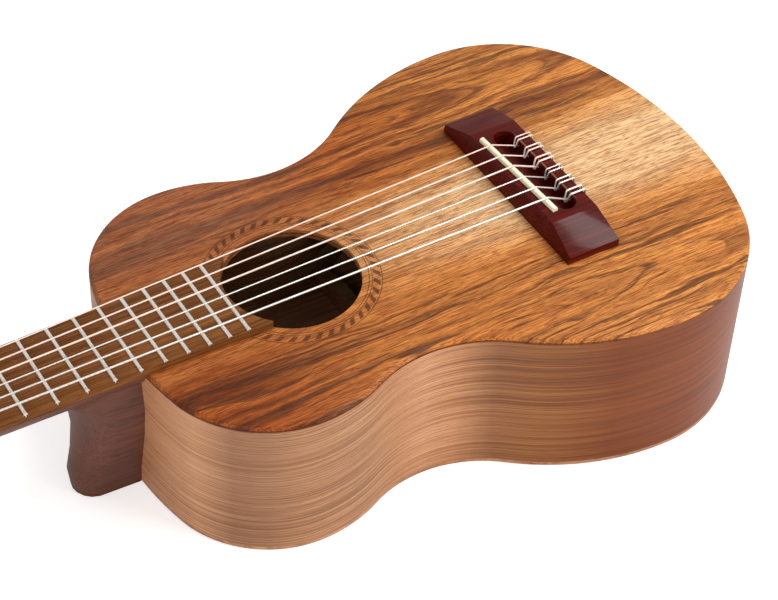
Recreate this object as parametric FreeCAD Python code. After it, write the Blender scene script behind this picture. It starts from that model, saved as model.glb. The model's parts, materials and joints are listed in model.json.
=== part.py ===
"""Guitalele: a small six-string guitar with a flat-topped wooden body, a bolt-free dovetailed neck
and open worm-gear tuning machines behind a solid head.

Lengths are millimetres. The pieces are laid out in the playing frame: x runs from the nut to the
tail with 0 under the saddle, +y is the treble side and z = 0 is the face of the soundboard. The
body is deeper at the tail than at the neck, so the finished pieces are turned by that taper and
raised until the back lies flat on z = 0.
"""
import FreeCAD
import Part
import math
import os

Vec = FreeCAD.Vector

# Scale, frets and strings
SCALE_LENGTH = 433.0
FRET_COUNT = 17
BODY_FRET = 12
STRING_DIAMETERS = (0.70, 0.80, 0.95, 0.75, 0.90, 1.10)
SPACING_SADDLE = 9.28
SPACING_NUT = 5.9
STRING_HEIGHT_NUT = 0.6
STRING_SIDES = 5
BEND_STEP = math.radians(31)
STRING_CLEARANCE = 0.03

# Body outline: half widths, their places along x, and the radii of the tangent arcs
NECK_PAST_FRET = 0.6
UPPER_FROM_NECK = 60.0
X_LOWER = 24.2
X_TAIL = 103.6
HALF_UPPER = 85.8
WAIST_SHARE = 0.8403
HALF_LOWER = 113.4
UPPER_FRONT_SHARE = 0.94
UPPER_REAR_SHARE = 0.8601
LOWER_FLANK_SHARE = 1.1332
LOWER_TAIL_SHARE = 0.9068

# Body walls
DEPTH_NECK = 84.0
DEPTH_TAIL = 89.5
TOP_THICKNESS = 2.8
TOP_EDGE_ROUND = 2.2
TOP_EDGE_SHARES = ((0.0, 1.0), (0.29, 0.29), (1.0, 0.0))
BACK_THICKNESS = 2.6
BACK_EDGE_BEVEL = 0.9
RIB_THICKNESS = 2.0
LINING_WIDTH = 5.0
LINING_HEIGHT = 11.0

# Blocks and the dovetail of the neck
NECK_BLOCK_LENGTH = 26.0
NECK_BLOCK_HALF_WIDTH = 27.0
TAIL_BLOCK_LENGTH = 14.0
TAIL_BLOCK_HALF_WIDTH = 26.0
DOVETAIL_LENGTH = 13.0
DOVETAIL_HALF_ROOT = 8.0
DOVETAIL_HALF_END = 11.0
DOVETAIL_DEPTH = 58.0
DOVETAIL_CLEARANCE = 0.1

# Soundhole, its rosette and its patch
HOLE_FROM_NECK = 89.3
HOLE_RADIUS = 33.7
ROSETTE_INNER = 36.6
ROSETTE_OUTER = 43.5
ROSETTE_DEPTH = 0.9
ROSETTE_SIDES = 56
PATCH_WIDTH = 11.0
PATCH_THICKNESS = 1.6
PATCH_SIDES = 8
PATCH_HOLE_SIDES = 24

# Bracing under the top and on the back
TOP_BAR_WIDTH = 8.0
TOP_BAR_HEIGHT = 13.0
TOP_BAR_END_HEIGHT = 4.0
TOP_BAR_SLOPE_LENGTH = 26.0
TOP_BAR_GAP = 3.0
FAN_COUNT = 5
FAN_WIDTH = 5.0
FAN_HEIGHT = 4.5
FAN_LENGTH = 134.0
FAN_SPREAD_FRONT = 17.0
FAN_SPREAD_REAR = 28.0
BRIDGE_PLATE_THICKNESS = 2.0
BRIDGE_PLATE_LENGTH = 36.0
BRIDGE_PLATE_HALF_WIDTH = 62.0
BACK_BAR_SHARES = (0.181, 0.457, 0.757)
BACK_BAR_WIDTH = 7.0
BACK_BAR_HEIGHT = 12.0
BACK_STRIP_WIDTH = 16.0
BACK_STRIP_THICKNESS = 2.0
BRACE_GAP = 0.2

# Fretboard, frets, nut
BOARD_THICKNESS = 3.6
BOARD_HEIGHT_JOIN = 3.5
BOARD_SLOPE_SHARE = 0.009
BOARD_HALF_NUT = 19.5
BOARD_HALF_JOIN = 23.7
BOARD_REACH = 66.5
FRET_WIDTH = 2.2
FRET_HEIGHT = 1.0
FRET_TANG = 0.6
FRET_TANG_DEPTH = 1.8
FRET_CROWN_SHARES = ((-1.0, 0.0), (-0.72, 0.68), (-0.25, 1.0), (0.25, 1.0), (0.72, 0.68), (1.0, 0.0))
FRET_END_INSET = 0.5
FRET_END_BEVEL = 0.6
NUT_THICKNESS = 4.0
NUT_OVER_STRING = 0.5

# Bridge, saddle and tie block
BRIDGE_FRONT = -6.5
BRIDGE_BACK = 23.0
BRIDGE_HALF_LENGTH = 56.5
BRIDGE_HALF_BLOCK = 37.0
BRIDGE_TOP = 10.4
BRIDGE_WING_END = 4.0
BRIDGE_FRONT_LEAN = 3.0
BRIDGE_BACK_LEAN = 0.6
SLOT_FRONT = 4.6
SLOT_HALF_LENGTH = 32.5
SLOT_FLOOR = 3.4
TIE_FRONT = 16.2
TIE_HOLE_HEIGHT = 6.0
TIE_HOLE_RADIUS = 1.0
SADDLE_X = 0.85
SADDLE_SLANT = 3.1
SADDLE_HALF_LENGTH = 30.8
SADDLE_THICKNESS = 2.8
SADDLE_CROWN_SHARE = 0.42
SADDLE_TOP = 12.6
SADDLE_SEAT = 4.5

# String ends at the tie block
LOOP_GAP = 0.5
LOOP_BEND = 1.0
TAIL_LENGTH = 3.6

# Neck shaft and heel
NECK_DEPTH = 17.5
NECK_FLATS = 12
NECK_INTO_HEAD = 15.0
NECK_PAST_JOIN = 14.0
HEEL_REACH = 27.0
HEEL_HALF_WIDTH = 22.0
HEEL_SECTION_SHARES = (
    (0.10, 1.65, 0.86),
    (0.21, 1.32, 0.90),
    (0.32, 1.06, 0.95),
    (0.53, 1.00, 0.87),
    (0.72, 1.07, 0.72),
    (0.86, 1.17, 0.60),
    (1.03, 1.12, 0.55),
)
HEEL_FLATS = 8
HEEL_NOSE_WIDTH_SHARE = 0.9
HEEL_NOSE_LENGTH_SHARE = 0.55
HEEL_NOSE_ROUND_SHARE = 0.85
HEEL_CAP_THICKNESS = 2.2

# Head
HEAD_TILT = 12.5
HEAD_LENGTH = 142.0
HEAD_THICKNESS = 12.5
VENEER_THICKNESS = 1.5
HEAD_SHOULDER = 24.0
HEAD_HALF_SHOULDER = 28.0
HEAD_HALF_TIP = 31.0
HEAD_CROWN = 5.0
HEAD_CORNER_RADIUS = 7.0

# Tuning machines: posts, gears and worms
TUNER_ROWS = 3
POST_FIRST = 38.0
POST_STEP = 35.0
POST_OFFSET = 19.0
POST_RADIUS = 3.0
POST_TOP = 15.0
POST_RIM = 0.35
POST_HOLE_RADIUS = 1.0
COIL_BOTTOM = 5.2
COIL_TURNS = 2.1
COIL_STEPS = 10
COIL_GAP = 0.48
POST_TO_COIL = 0.12
RUNNING_CLEARANCE = 0.08
BUSH_SLEEVE_RADIUS = 4.3
BUSH_FLANGE_RADIUS = 5.3
BUSH_FLANGE_HEIGHT = 1.2
BUSH_DEPTH = 6.0
PLATE_THICKNESS = 1.0
PLATE_HALF_WIDTH = 6.6
PLATE_MARGIN = 11.0
PLATE_CORNER_SHARE = 0.5
GEAR_TEETH = 14
GEAR_MODULE = 0.62
GEAR_THICKNESS = 3.6
GEAR_ADDENDUM = 0.48
GEAR_DEDENDUM = 0.64
GEAR_SEAT_RADIUS = 2.1
GEAR_SPACE_EASE = 0.05
GEAR_FLANK_ANGLE = 24.0
WORM_RADIUS = 2.3
WORM_FLANK_ANGLE = 20.0
WORM_FLANK_CLEARANCE = 0.13
WORM_TURNS = 2.75
WORM_SIDES = 8
WORM_SINK = 0.3
WORM_TO_PLATE = 0.35
SHAFT_RADIUS = 1.5
EAR_THICKNESS = 1.2
EAR_GAP = 0.2
EAR_RADIUS = 2.7
EAR_TIP_SHARE = 0.45
SHAFT_STUB = 0.8
SHAFT_OUTREACH = 14.0
SHAFT_IN_KNOB = 6.0
KNOB_LENGTH = 15.0
KNOB_HALF_WIDTH = 8.5
KNOB_SHARES = ((0.38, 0.0), (1.0, 0.3), (1.0, 0.7), (0.72, 1.0))
KNOB_THICKNESS = 6.4
KNOB_EDGE = 1.3
GEAR_SCREW_HEAD_RADIUS = 2.9
GEAR_SCREW_HEAD_HEIGHT = 1.1
GEAR_SCREW_RADIUS = 1.0
GEAR_SCREW_LENGTH = 5.0
PLATE_SCREW_HEAD_RADIUS = 1.9
PLATE_SCREW_HEAD_HEIGHT = 0.8
PLATE_SCREW_RADIUS = 0.9
PLATE_SCREW_LENGTH = 8.0

# Sides given to small round pieces
ROUND_SIDES = 12
SHAFT_SIDES = 10
SMALL_SIDES = 8
SEAT_SIDES = 4

# One overrun serves every cut that has to pass through a face
OVERRUN = 1.0

# How near two heights are taken as one when edges are picked
LEVEL = 0.001

SIDES = (("bass", -1), ("treble", 1))
ORIGIN = Vec(0, 0, 0)
UP = Vec(0, 0, 1)

# Sizes that follow from the ones above
X_JOIN = -SCALE_LENGTH * 2 ** (-BODY_FRET / 12)
X_NECK = X_JOIN + NECK_PAST_FRET
X_UPPER = X_NECK + UPPER_FROM_NECK
HOLE_X = X_NECK + HOLE_FROM_NECK
HALF_WAIST = HALF_UPPER * WAIST_SHARE
R_UPPER_FRONT = UPPER_FROM_NECK * UPPER_FRONT_SHARE
R_UPPER_REAR = HALF_UPPER * UPPER_REAR_SHARE
R_LOWER_FLANK = HALF_LOWER * LOWER_FLANK_SHARE
R_LOWER_TAIL = (X_TAIL - X_LOWER) * LOWER_TAIL_SHARE
DEPTH_MOST = max(DEPTH_NECK, DEPTH_TAIL)
TAPER = math.atan2(DEPTH_TAIL - DEPTH_NECK, X_TAIL - X_NECK)
BACK_DROP = (DEPTH_NECK - X_NECK * math.tan(TAPER)) * math.cos(TAPER)
NUT_FRONT = -SCALE_LENGTH
NUT_BACK = NUT_FRONT - NUT_THICKNESS
GEAR_PITCH = math.pi * GEAR_MODULE
GEAR_RADIUS = GEAR_TEETH * GEAR_MODULE / 2
WORM_LEAD_ANGLE = math.atan2(GEAR_PITCH, 2 * math.pi * WORM_RADIUS)
WORM_OFFSET = GEAR_RADIUS + WORM_RADIUS
WORM_TIP = WORM_RADIUS + GEAR_ADDENDUM
WORM_ROOT = WORM_RADIUS - GEAR_DEDENDUM
WORM_HALF_LENGTH = WORM_TURNS * GEAR_PITCH / 2
HEAD_BACK = -VENEER_THICKNESS - HEAD_THICKNESS
PLATE_BACK = HEAD_BACK - PLATE_THICKNESS
WORM_LEVEL = PLATE_BACK - WORM_TO_PLATE - WORM_TIP
GEAR_TOP = WORM_LEVEL + GEAR_THICKNESS / 2
GEAR_BOTTOM = WORM_LEVEL - GEAR_THICKNESS / 2


def unit(vector):
    """The vector at length one."""
    return vector * (1.0 / vector.Length)


def slab(x_span, y_span, z_span):
    """A box from its three spans."""
    size = [high - low for low, high in (x_span, y_span, z_span)]
    return Part.makeBox(*size, Vec(x_span[0], y_span[0], z_span[0]))


def prism(points, depth):
    """A flat polygon drawn out along depth."""
    return Part.Face(Part.makePolygon(list(points) + [points[0]])).extrude(depth)


def prism_face(points):
    """The flat face inside a closed polygon."""
    return Part.Face(Part.makePolygon(list(points) + [points[0]]))


def solid_of(faces):
    """The solid inside a closed set of faces."""
    shell = Part.makeShell(faces)
    shell.sewShape()
    solid = Part.makeSolid(shell)
    if solid.Volume < 0:
        solid.reverse()
    return solid


def regular_prism(sides, radius, start, end):
    """A bar with a regular polygon for its section, its corners at radius."""
    return prism(polygon_points(sides, radius, start, end - start), end - start)


def flat_bore(sides, radius, start, end):
    """A polygonal hole whose flats lie at radius, so that a round bar of that radius passes."""
    return regular_prism(sides, radius / math.cos(math.pi / sides), start, end)


def polygon_points(sides, radius, centre, direction):
    """Corners of a regular polygon square to a direction."""
    along = unit(direction)
    across = along.cross(UP)
    across = Vec(0, 1, 0) if across.Length < LEVEL else unit(across)
    other = along.cross(across)
    spots = []
    for index in range(sides):
        angle = 2 * math.pi * index / sides
        spots.append(centre + across * (radius * math.cos(angle)) + other * (radius * math.sin(angle)))
    return spots


def joined(shapes):
    """One solid from touching or overlapping shapes."""
    return shapes[0].fuse(shapes[1:]).removeSplitter()


def body_placement():
    """Turns the playing frame until the back is level, and raises it on to the back."""
    return FreeCAD.Placement(Vec(0, 0, BACK_DROP), FreeCAD.Rotation(Vec(0, 1, 0), -math.degrees(TAPER)))


def board_height(x):
    """Height of the fretboard's face."""
    return BOARD_HEIGHT_JOIN + BOARD_SLOPE_SHARE * (x - X_JOIN)


def board_half_width(x):
    """Half width of the fretboard, which tapers evenly to the nut."""
    share = (x - NUT_FRONT) / (X_JOIN - NUT_FRONT)
    return BOARD_HALF_NUT + share * (BOARD_HALF_JOIN - BOARD_HALF_NUT)


def neck_top(x):
    """Height of the glue face between neck and fretboard."""
    return board_height(x) - BOARD_THICKNESS


def head_placement():
    """Head frame: x to the tip, y to the bass side, z out of the face, from the back of the nut."""
    tilt = FreeCAD.Rotation(Vec(0, 1, 0), -HEAD_TILT)
    about = FreeCAD.Rotation(UP, 180)
    return FreeCAD.Placement(Vec(NUT_BACK, 0, neck_top(NUT_BACK) + VENEER_THICKNESS), tilt.multiply(about))


def placed(shape, placement):
    """A copy of the shape carried to another frame."""
    return shape.transformed(placement.toMatrix())


def settled(shape):
    """A shape of the playing frame, moved to where it lies on its back."""
    return placed(shape, body_placement())


def on_head(shape):
    """A shape of the head frame, moved to where it lies on its back."""
    return settled(placed(shape, head_placement()))


def arc_edge(centre_x, centre_y, radius, start, end):
    """An arc in the plane of the soundboard."""
    spots = []
    for angle in (start, (start + end) / 2, end):
        spots.append(Vec(centre_x + radius * math.cos(angle), centre_y + radius * math.sin(angle), 0))
    return Part.Arc(*spots).toShape()


def waist_circle():
    """The hollow circle that touches both bouts: its centre and radius."""
    bouts = (
        (X_LOWER, HALF_LOWER - R_LOWER_FLANK, R_LOWER_FLANK),
        (X_UPPER, HALF_UPPER - R_UPPER_REAR, R_UPPER_REAR),
    )
    terms = []
    for x, y, radius in bouts:
        rise = HALF_WAIST - y
        scale = 2 * (radius - rise)
        terms.append((1 / scale, -2 * x / scale, (x * x + rise * rise - radius * radius) / scale))
    square, linear, constant = [low - high for low, high in zip(*terms)]
    root = math.sqrt(linear * linear - 4 * square * constant)
    middle = (X_LOWER + X_UPPER) / 2
    choices = [(-linear + sign * root) / (2 * square) for sign in (1, -1)]
    x = min(choices, key=lambda place: abs(place - middle))
    radius = terms[0][0] * x * x + terms[0][1] * x + terms[0][2]
    return x, HALF_WAIST + radius, radius


def end_circle_radius(x_end, x_bout, half_width, radius):
    """Radius of the shallow arc across the centre line that touches a bout from inside."""
    reach = abs(x_end - x_bout)
    height = half_width - radius
    return (reach * reach + height * height - radius * radius) / (2 * (reach - radius))


def half_outline(inset, side):
    """The arcs of one side of the body, neck to tail, moved inwards by inset."""
    waist_x, waist_y, waist_r = waist_circle()
    neck_r = end_circle_radius(X_NECK, X_UPPER, HALF_UPPER, R_UPPER_FRONT)
    tail_r = end_circle_radius(X_TAIL, X_LOWER, HALF_LOWER, R_LOWER_TAIL)
    upper_y, lower_y = HALF_UPPER - R_UPPER_REAR, HALF_LOWER - R_LOWER_FLANK
    neck_turn = math.atan2(HALF_UPPER - R_UPPER_FRONT, X_UPPER - X_NECK - neck_r)
    tail_turn = math.atan2(HALF_LOWER - R_LOWER_TAIL, X_LOWER - X_TAIL + tail_r)
    upper_turn = math.atan2(waist_y - upper_y, waist_x - X_UPPER)
    lower_turn = math.atan2(lower_y - waist_y, X_LOWER - waist_x)
    quarter = math.pi / 2
    arcs = (
        (X_NECK + neck_r, 0, neck_r - inset, math.pi, neck_turn),
        (X_UPPER, HALF_UPPER - R_UPPER_FRONT, R_UPPER_FRONT - inset, neck_turn, quarter),
        (X_UPPER, upper_y, R_UPPER_REAR - inset, quarter, upper_turn),
        (waist_x, waist_y, waist_r + inset, upper_turn - math.pi, lower_turn),
        (X_LOWER, lower_y, R_LOWER_FLANK - inset, lower_turn + math.pi, quarter),
        (X_LOWER, HALF_LOWER - R_LOWER_TAIL, R_LOWER_TAIL - inset, quarter, tail_turn),
        (X_TAIL - tail_r, 0, tail_r - inset, tail_turn, 0),
    )
    return [arc_edge(x, side * y, radius, side * start, side * end) for x, y, radius, start, end in arcs]


def outline_face(inset):
    """The whole plan of the body, moved inwards by inset."""
    edges = half_outline(inset, 1) + half_outline(inset, -1)
    return Part.Face(Part.Wire(Part.__sortEdges__(edges)))


def outline_wire(inset, height):
    """The plan of the body as a wire at one height."""
    wire = outline_face(inset).OuterWire
    wire.translate(Vec(0, 0, height))
    return wire


def half_ring_face(outer, inner, side):
    """The band between two insets on one side of the centre line."""
    edges = half_outline(outer, side) + half_outline(inner, side)
    for x in (X_NECK, X_TAIL):
        inward = 1 if x == X_NECK else -1
        edges.append(Part.makeLine(Vec(x + inward * outer, 0, 0), Vec(x + inward * inner, 0, 0)))
    return Part.Face(Part.Wire(Part.__sortEdges__(edges)))


def column(face, low, high):
    """A plan face drawn between two heights."""
    face = face.copy()
    face.translate(Vec(0, 0, low))
    return face.extrude(Vec(0, 0, high - low))


def body_column(inset):
    """The plan of the body drawn well past top and back."""
    return column(outline_face(inset), -DEPTH_MOST - BACK_THICKNESS - OVERRUN, OVERRUN)


def level_slab(low, high):
    """A slab square to the back, between two heights above it."""
    margin = LINING_HEIGHT
    half = HALF_LOWER + margin
    return slab((X_NECK - margin - HEEL_REACH * 2, X_TAIL + margin), (-half, half), (low, high))


def flat_edges(shape, height):
    """Edges that lie wholly at one height."""
    found = []
    for edge in shape.Edges:
        box = edge.BoundBox
        if abs(box.ZMin - height) < LEVEL and abs(box.ZMax - height) < LEVEL:
            found.append(edge)
    return found


def soundboard():
    """The top plate, bevelled round at its rim, with the soundhole and the rosette's channel."""
    plate = column(outline_face(0), -TOP_THICKNESS, -TOP_EDGE_ROUND)
    bands = [plate]
    for (inset, drop), (next_inset, next_drop) in zip(TOP_EDGE_SHARES, TOP_EDGE_SHARES[1:]):
        low = outline_wire(TOP_EDGE_ROUND * inset, -TOP_EDGE_ROUND * drop)
        high = outline_wire(TOP_EDGE_ROUND * next_inset, -TOP_EDGE_ROUND * next_drop)
        bands.append(Part.makeLoft([low, high], True, True))
    centre = Vec(HOLE_X, 0, -TOP_THICKNESS - OVERRUN)
    hole = Part.makeCylinder(HOLE_RADIUS, TOP_THICKNESS + 2 * OVERRUN, centre)
    return settled(joined(bands).cut([hole, rosette_blank(OVERRUN)]))


def rosette_blank(rise):
    """The ring inlaid round the soundhole, its top raised by rise."""
    base, top = Vec(HOLE_X, 0, -ROSETTE_DEPTH), Vec(HOLE_X, 0, rise)
    outer = flat_bore(ROSETTE_SIDES, ROSETTE_OUTER, base, top)
    return outer.cut(flat_bore(ROSETTE_SIDES, ROSETTE_INNER, base, top))


def rosette_ring():
    """The inlaid ring, flush with the soundboard."""
    return settled(rosette_blank(0))


def back_plate():
    """The back, cut square to its own plane and bevelled at the rim."""
    plate = settled(body_column(0)).common(level_slab(BACK_EDGE_BEVEL, BACK_THICKNESS))
    levels = ((BACK_EDGE_BEVEL, 0), (0, BACK_EDGE_BEVEL))
    rims = [settled(body_column(inset)).slice(UP, height)[0] for inset, height in levels]
    return joined([plate, Part.makeLoft(rims, True, True)])


def dovetail(clearance):
    """The neck's dovetail, from the face of the body into the neck block."""
    x_face = X_NECK - OVERRUN
    x_end = X_NECK + DOVETAIL_LENGTH + clearance
    low = -TOP_THICKNESS - DOVETAIL_DEPTH - clearance
    root, end = DOVETAIL_HALF_ROOT + clearance, DOVETAIL_HALF_END + clearance
    points = [Vec(x_face, -root, low), Vec(x_end, -end, low), Vec(x_end, end, low), Vec(x_face, root, low)]
    return prism(points, Vec(0, 0, DOVETAIL_DEPTH + clearance))


def rib(side):
    """One bent side, from the back to the soundboard."""
    wall = column(half_ring_face(0, RIB_THICKNESS, side), -DEPTH_MOST - OVERRUN, -TOP_THICKNESS)
    wall = wall.cut(dovetail(DOVETAIL_CLEARANCE))
    return settled(wall).cut(level_slab(-DEPTH_MOST, BACK_THICKNESS))


def inner_box(x_span, half_width):
    """A full-height block between top and back, shaped to the inside of the ribs."""
    block = slab(x_span, (-half_width, half_width), (-DEPTH_MOST - OVERRUN, -TOP_THICKNESS))
    block = block.common(body_column(RIB_THICKNESS))
    return settled(block).cut(level_slab(-DEPTH_MOST, BACK_THICKNESS))


def neck_block():
    """The block that holds the neck's dovetail."""
    x_end = X_NECK + RIB_THICKNESS + NECK_BLOCK_LENGTH
    block = inner_box((X_NECK, x_end), NECK_BLOCK_HALF_WIDTH)
    return block.cut(settled(dovetail(DOVETAIL_CLEARANCE)))


def tail_block():
    """The block at the tail seam."""
    x_start = X_TAIL - RIB_THICKNESS - TAIL_BLOCK_LENGTH
    return inner_box((x_start, X_TAIL), TAIL_BLOCK_HALF_WIDTH)


def lining_band(side, at_back):
    """A lining of one side: a strip bent round inside the rib, against the plate."""
    inner = RIB_THICKNESS + LINING_WIDTH
    if not at_back:
        low, high = -TOP_THICKNESS - LINING_HEIGHT, -TOP_THICKNESS
        band = column(half_ring_face(RIB_THICKNESS, inner, side), low, high)
        return settled(band)
    band = column(half_ring_face(RIB_THICKNESS, inner, side), -DEPTH_MOST - BACK_THICKNESS - OVERRUN, 0)
    return settled(band).common(level_slab(BACK_THICKNESS, BACK_THICKNESS + LINING_HEIGHT))


def lining(side, at_back):
    """A lining strip, cut short at the blocks and notched for the bars."""
    bars = back_bars() if at_back else top_bars()
    return lining_band(side, at_back).cut([neck_block_blank(), tail_block()] + bars)


def neck_block_blank():
    """The neck block before its dovetail is cut."""
    return inner_box((X_NECK, X_NECK + RIB_THICKNESS + NECK_BLOCK_LENGTH), NECK_BLOCK_HALF_WIDTH)


def top_bar_places():
    """Centres of the two bars, one each side of the soundhole and its patch."""
    offset = HOLE_RADIUS + PATCH_WIDTH + TOP_BAR_GAP + TOP_BAR_WIDTH / 2
    return HOLE_X - offset, HOLE_X + offset


def half_width_at(x, inset):
    """Half width of the body's plan at one station."""
    line = Part.makeLine(Vec(x, 0, 0), Vec(x, HALF_LOWER + OVERRUN, 0))
    wire = Part.Wire(half_outline(inset, 1))
    return line.distToShape(wire)[1][0][0].y


def sloped_bar(x, width, height, half_width):
    """A bar seen along x: tall in the middle, sloping to thin ends. It stands up from z = 0."""
    slope_start = half_width - TOP_BAR_SLOPE_LENGTH
    points = [
        Vec(x - width / 2, -half_width, 0),
        Vec(x - width / 2, half_width, 0),
        Vec(x - width / 2, half_width, TOP_BAR_END_HEIGHT),
        Vec(x - width / 2, slope_start, height),
        Vec(x - width / 2, -slope_start, height),
        Vec(x - width / 2, -half_width, TOP_BAR_END_HEIGHT),
    ]
    return prism(points, Vec(width, 0, 0))


def hung(shape):
    """The shape turned upside down and hung from the underside of the soundboard."""
    down = FreeCAD.Placement(Vec(0, 0, -TOP_THICKNESS), FreeCAD.Rotation(Vec(1, 0, 0), 180))
    return placed(shape, down)


def top_bars():
    """The two transverse bars under the soundboard."""
    bars = []
    for x in top_bar_places():
        half_width = half_width_at(x, RIB_THICKNESS) - BRACE_GAP
        bar = hung(sloped_bar(x, TOP_BAR_WIDTH, TOP_BAR_HEIGHT, half_width))
        bars.append(settled(bar.common(body_column(RIB_THICKNESS))))
    return bars


def fan_strut(index):
    """One of the struts that fan out under the lower bout, with tapered ends."""
    share = index - (FAN_COUNT - 1) / 2
    start = top_bar_places()[1] + TOP_BAR_WIDTH / 2 + BRACE_GAP
    front = Vec(start, share * FAN_SPREAD_FRONT, 0)
    rear = Vec(start + FAN_LENGTH, share * FAN_SPREAD_REAR, 0)
    length = (rear - front).Length
    slope = FAN_HEIGHT * 2
    points = [Vec(0, 0, 0), Vec(length, 0, 0), Vec(length, 0, FAN_HEIGHT / 4)]
    points += [Vec(length - slope, 0, FAN_HEIGHT), Vec(0, 0, FAN_HEIGHT)]
    strut = prism(points, Vec(0, FAN_WIDTH, 0))
    strut.translate(Vec(0, -FAN_WIDTH / 2, 0))
    heading = math.degrees(math.atan2(rear.y - front.y, rear.x - front.x))
    strut = placed(strut, FreeCAD.Placement(front, FreeCAD.Rotation(UP, heading)))
    return strut


def top_bracing():
    """The transverse bars and the fan of struts, glued under the soundboard."""
    plate = bridge_plate_blank()
    first_bar = top_bar_places()[1] + TOP_BAR_WIDTH / 2 + BRACE_GAP
    trim = body_column(RIB_THICKNESS + LINING_WIDTH + BRACE_GAP)
    clear = slab((first_bar, X_TAIL), (-HALF_LOWER, HALF_LOWER), (-DEPTH_MOST, 0))
    struts = []
    for index in range(FAN_COUNT):
        strut = hung(fan_strut(index)).common(trim).common(clear)
        struts.append(settled(strut).cut([settled(hung(plate)), tail_block()]))
    return top_bars() + [piece for strut in struts for piece in strut.Solids]


def bridge_plate_blank():
    """The plate that backs the bridge, standing up from z = 0."""
    middle = (BRIDGE_FRONT + BRIDGE_BACK) / 2
    x_span = (middle - BRIDGE_PLATE_LENGTH / 2, middle + BRIDGE_PLATE_LENGTH / 2)
    y_span = (-BRIDGE_PLATE_HALF_WIDTH, BRIDGE_PLATE_HALF_WIDTH)
    return slab(x_span, y_span, (0, BRIDGE_PLATE_THICKNESS))


def bridge_plate():
    """The hardwood plate under the bridge."""
    return settled(hung(bridge_plate_blank()))


def soundhole_patch():
    """The eight-sided plate that stiffens the soundboard round its hole."""
    base, top = Vec(HOLE_X, 0, 0), Vec(HOLE_X, 0, PATCH_THICKNESS)
    plate = flat_bore(PATCH_SIDES, HOLE_RADIUS + PATCH_WIDTH, base, top)
    plate = placed(plate, FreeCAD.Placement(ORIGIN, FreeCAD.Rotation(UP, 180 / PATCH_SIDES), base))
    return settled(hung(plate.cut(flat_bore(PATCH_HOLE_SIDES, HOLE_RADIUS, base, top))))


def back_bars():
    """The three transverse bars on the back."""
    inner = settled(body_column(RIB_THICKNESS))
    bars = []
    for share in BACK_BAR_SHARES:
        x = X_NECK + share * (X_TAIL - X_NECK)
        half_width = half_width_at(x, RIB_THICKNESS) - BRACE_GAP
        bar = sloped_bar(x, BACK_BAR_WIDTH, BACK_BAR_HEIGHT, half_width)
        bar.translate(Vec(0, 0, BACK_THICKNESS))
        bars.append(bar.common(inner))
    return bars


def back_strip():
    """The strip over the back's centre seam, broken where the bars cross it."""
    half = BACK_STRIP_WIDTH / 2
    height = BACK_THICKNESS + BACK_STRIP_THICKNESS
    strip = slab((X_NECK, X_TAIL), (-half, half), (BACK_THICKNESS, height))
    strip = strip.common(settled(body_column(RIB_THICKNESS)))
    return strip.cut(back_bars() + [neck_block_blank(), tail_block()]).Solids


def fretboard():
    """The fretboard: sloped on the neck, level on the body, hollowed at the soundhole."""
    x_end = X_JOIN + BOARD_REACH
    points = [
        Vec(NUT_FRONT, 0, neck_top(NUT_FRONT)),
        Vec(NUT_FRONT, 0, board_height(NUT_FRONT)),
        Vec(x_end, 0, board_height(x_end)),
        Vec(x_end, 0, 0),
        Vec(X_NECK, 0, 0),
        Vec(X_NECK, 0, neck_top(X_NECK)),
    ]
    half = BOARD_HALF_JOIN + BOARD_REACH
    board = prism([spot - Vec(0, half, 0) for spot in points], Vec(0, 2 * half, 0))
    low = -BOARD_THICKNESS * 2
    plan = [Vec(x, sign * board_half_width(x), low) for sign in (-1, 1) for x in (NUT_FRONT, x_end)]
    plan = prism([plan[0], plan[1], plan[3], plan[2]], Vec(0, 0, BOARD_THICKNESS * 4))
    hole = Part.makeCylinder(HOLE_RADIUS, BOARD_THICKNESS * 4, Vec(HOLE_X, 0, low))
    board = board.common(plan).cut(hole)
    return settled(board.cut([fret_slot(number) for number in range(1, FRET_COUNT + 1)]))


def fret_place(number):
    """The frame of one fret, on the face of the board and square to it."""
    x = -SCALE_LENGTH * 2 ** (-number / 12)
    lean = FreeCAD.Rotation(Vec(0, 1, 0), -math.degrees(math.atan(BOARD_SLOPE_SHARE)))
    return FreeCAD.Placement(Vec(x, 0, board_height(x)), lean)


def fret_half_length(number):
    """Half length of a fret's crown, a little inside the board."""
    return board_half_width(-SCALE_LENGTH * 2 ** (-number / 12)) - FRET_END_INSET


def fret_slot(number):
    """The saw cut for one fret, right across the board."""
    half = BOARD_HALF_JOIN + BOARD_REACH
    slot = slab((-FRET_TANG / 2, FRET_TANG / 2), (-half, half), (-FRET_TANG_DEPTH, OVERRUN))
    return placed(slot, fret_place(number))


def fret(number):
    """One fret: a rounded crown with bevelled ends on a flat tang."""
    half = fret_half_length(number)
    spots = [Vec(FRET_WIDTH / 2 * wide, -half, FRET_HEIGHT * tall) for wide, tall in FRET_CROWN_SHARES]
    crown = prism(spots, Vec(0, 2 * half, 0))
    ends = [Vec(-FRET_WIDTH, -half, 0), Vec(-FRET_WIDTH, half, 0)]
    ends += [Vec(-FRET_WIDTH, sign * (half - FRET_END_BEVEL), FRET_HEIGHT) for sign in (1, -1)]
    crown = crown.common(prism(ends, Vec(2 * FRET_WIDTH, 0, 0)))
    tang = slab((-FRET_TANG / 2, FRET_TANG / 2), (-half, half), (-FRET_TANG_DEPTH, 0))
    return settled(placed(joined([crown, tang]), fret_place(number)))


def string_side(index):
    """Place of a string across the neck, from +2.5 on the treble side to -2.5 on the bass side."""
    return (len(STRING_DIAMETERS) - 1) / 2 - index


def nut_floor():
    """Height of the bottom of the nut's slots at the fretboard."""
    return board_height(NUT_FRONT) + FRET_HEIGHT + STRING_HEIGHT_NUT


def nut_point(index):
    """Where a string's centre line bends over the front of the nut."""
    radius = STRING_DIAMETERS[index] / 2
    return Vec(NUT_FRONT, string_side(index) * SPACING_NUT, nut_floor() + radius + STRING_CLEARANCE)


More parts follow.
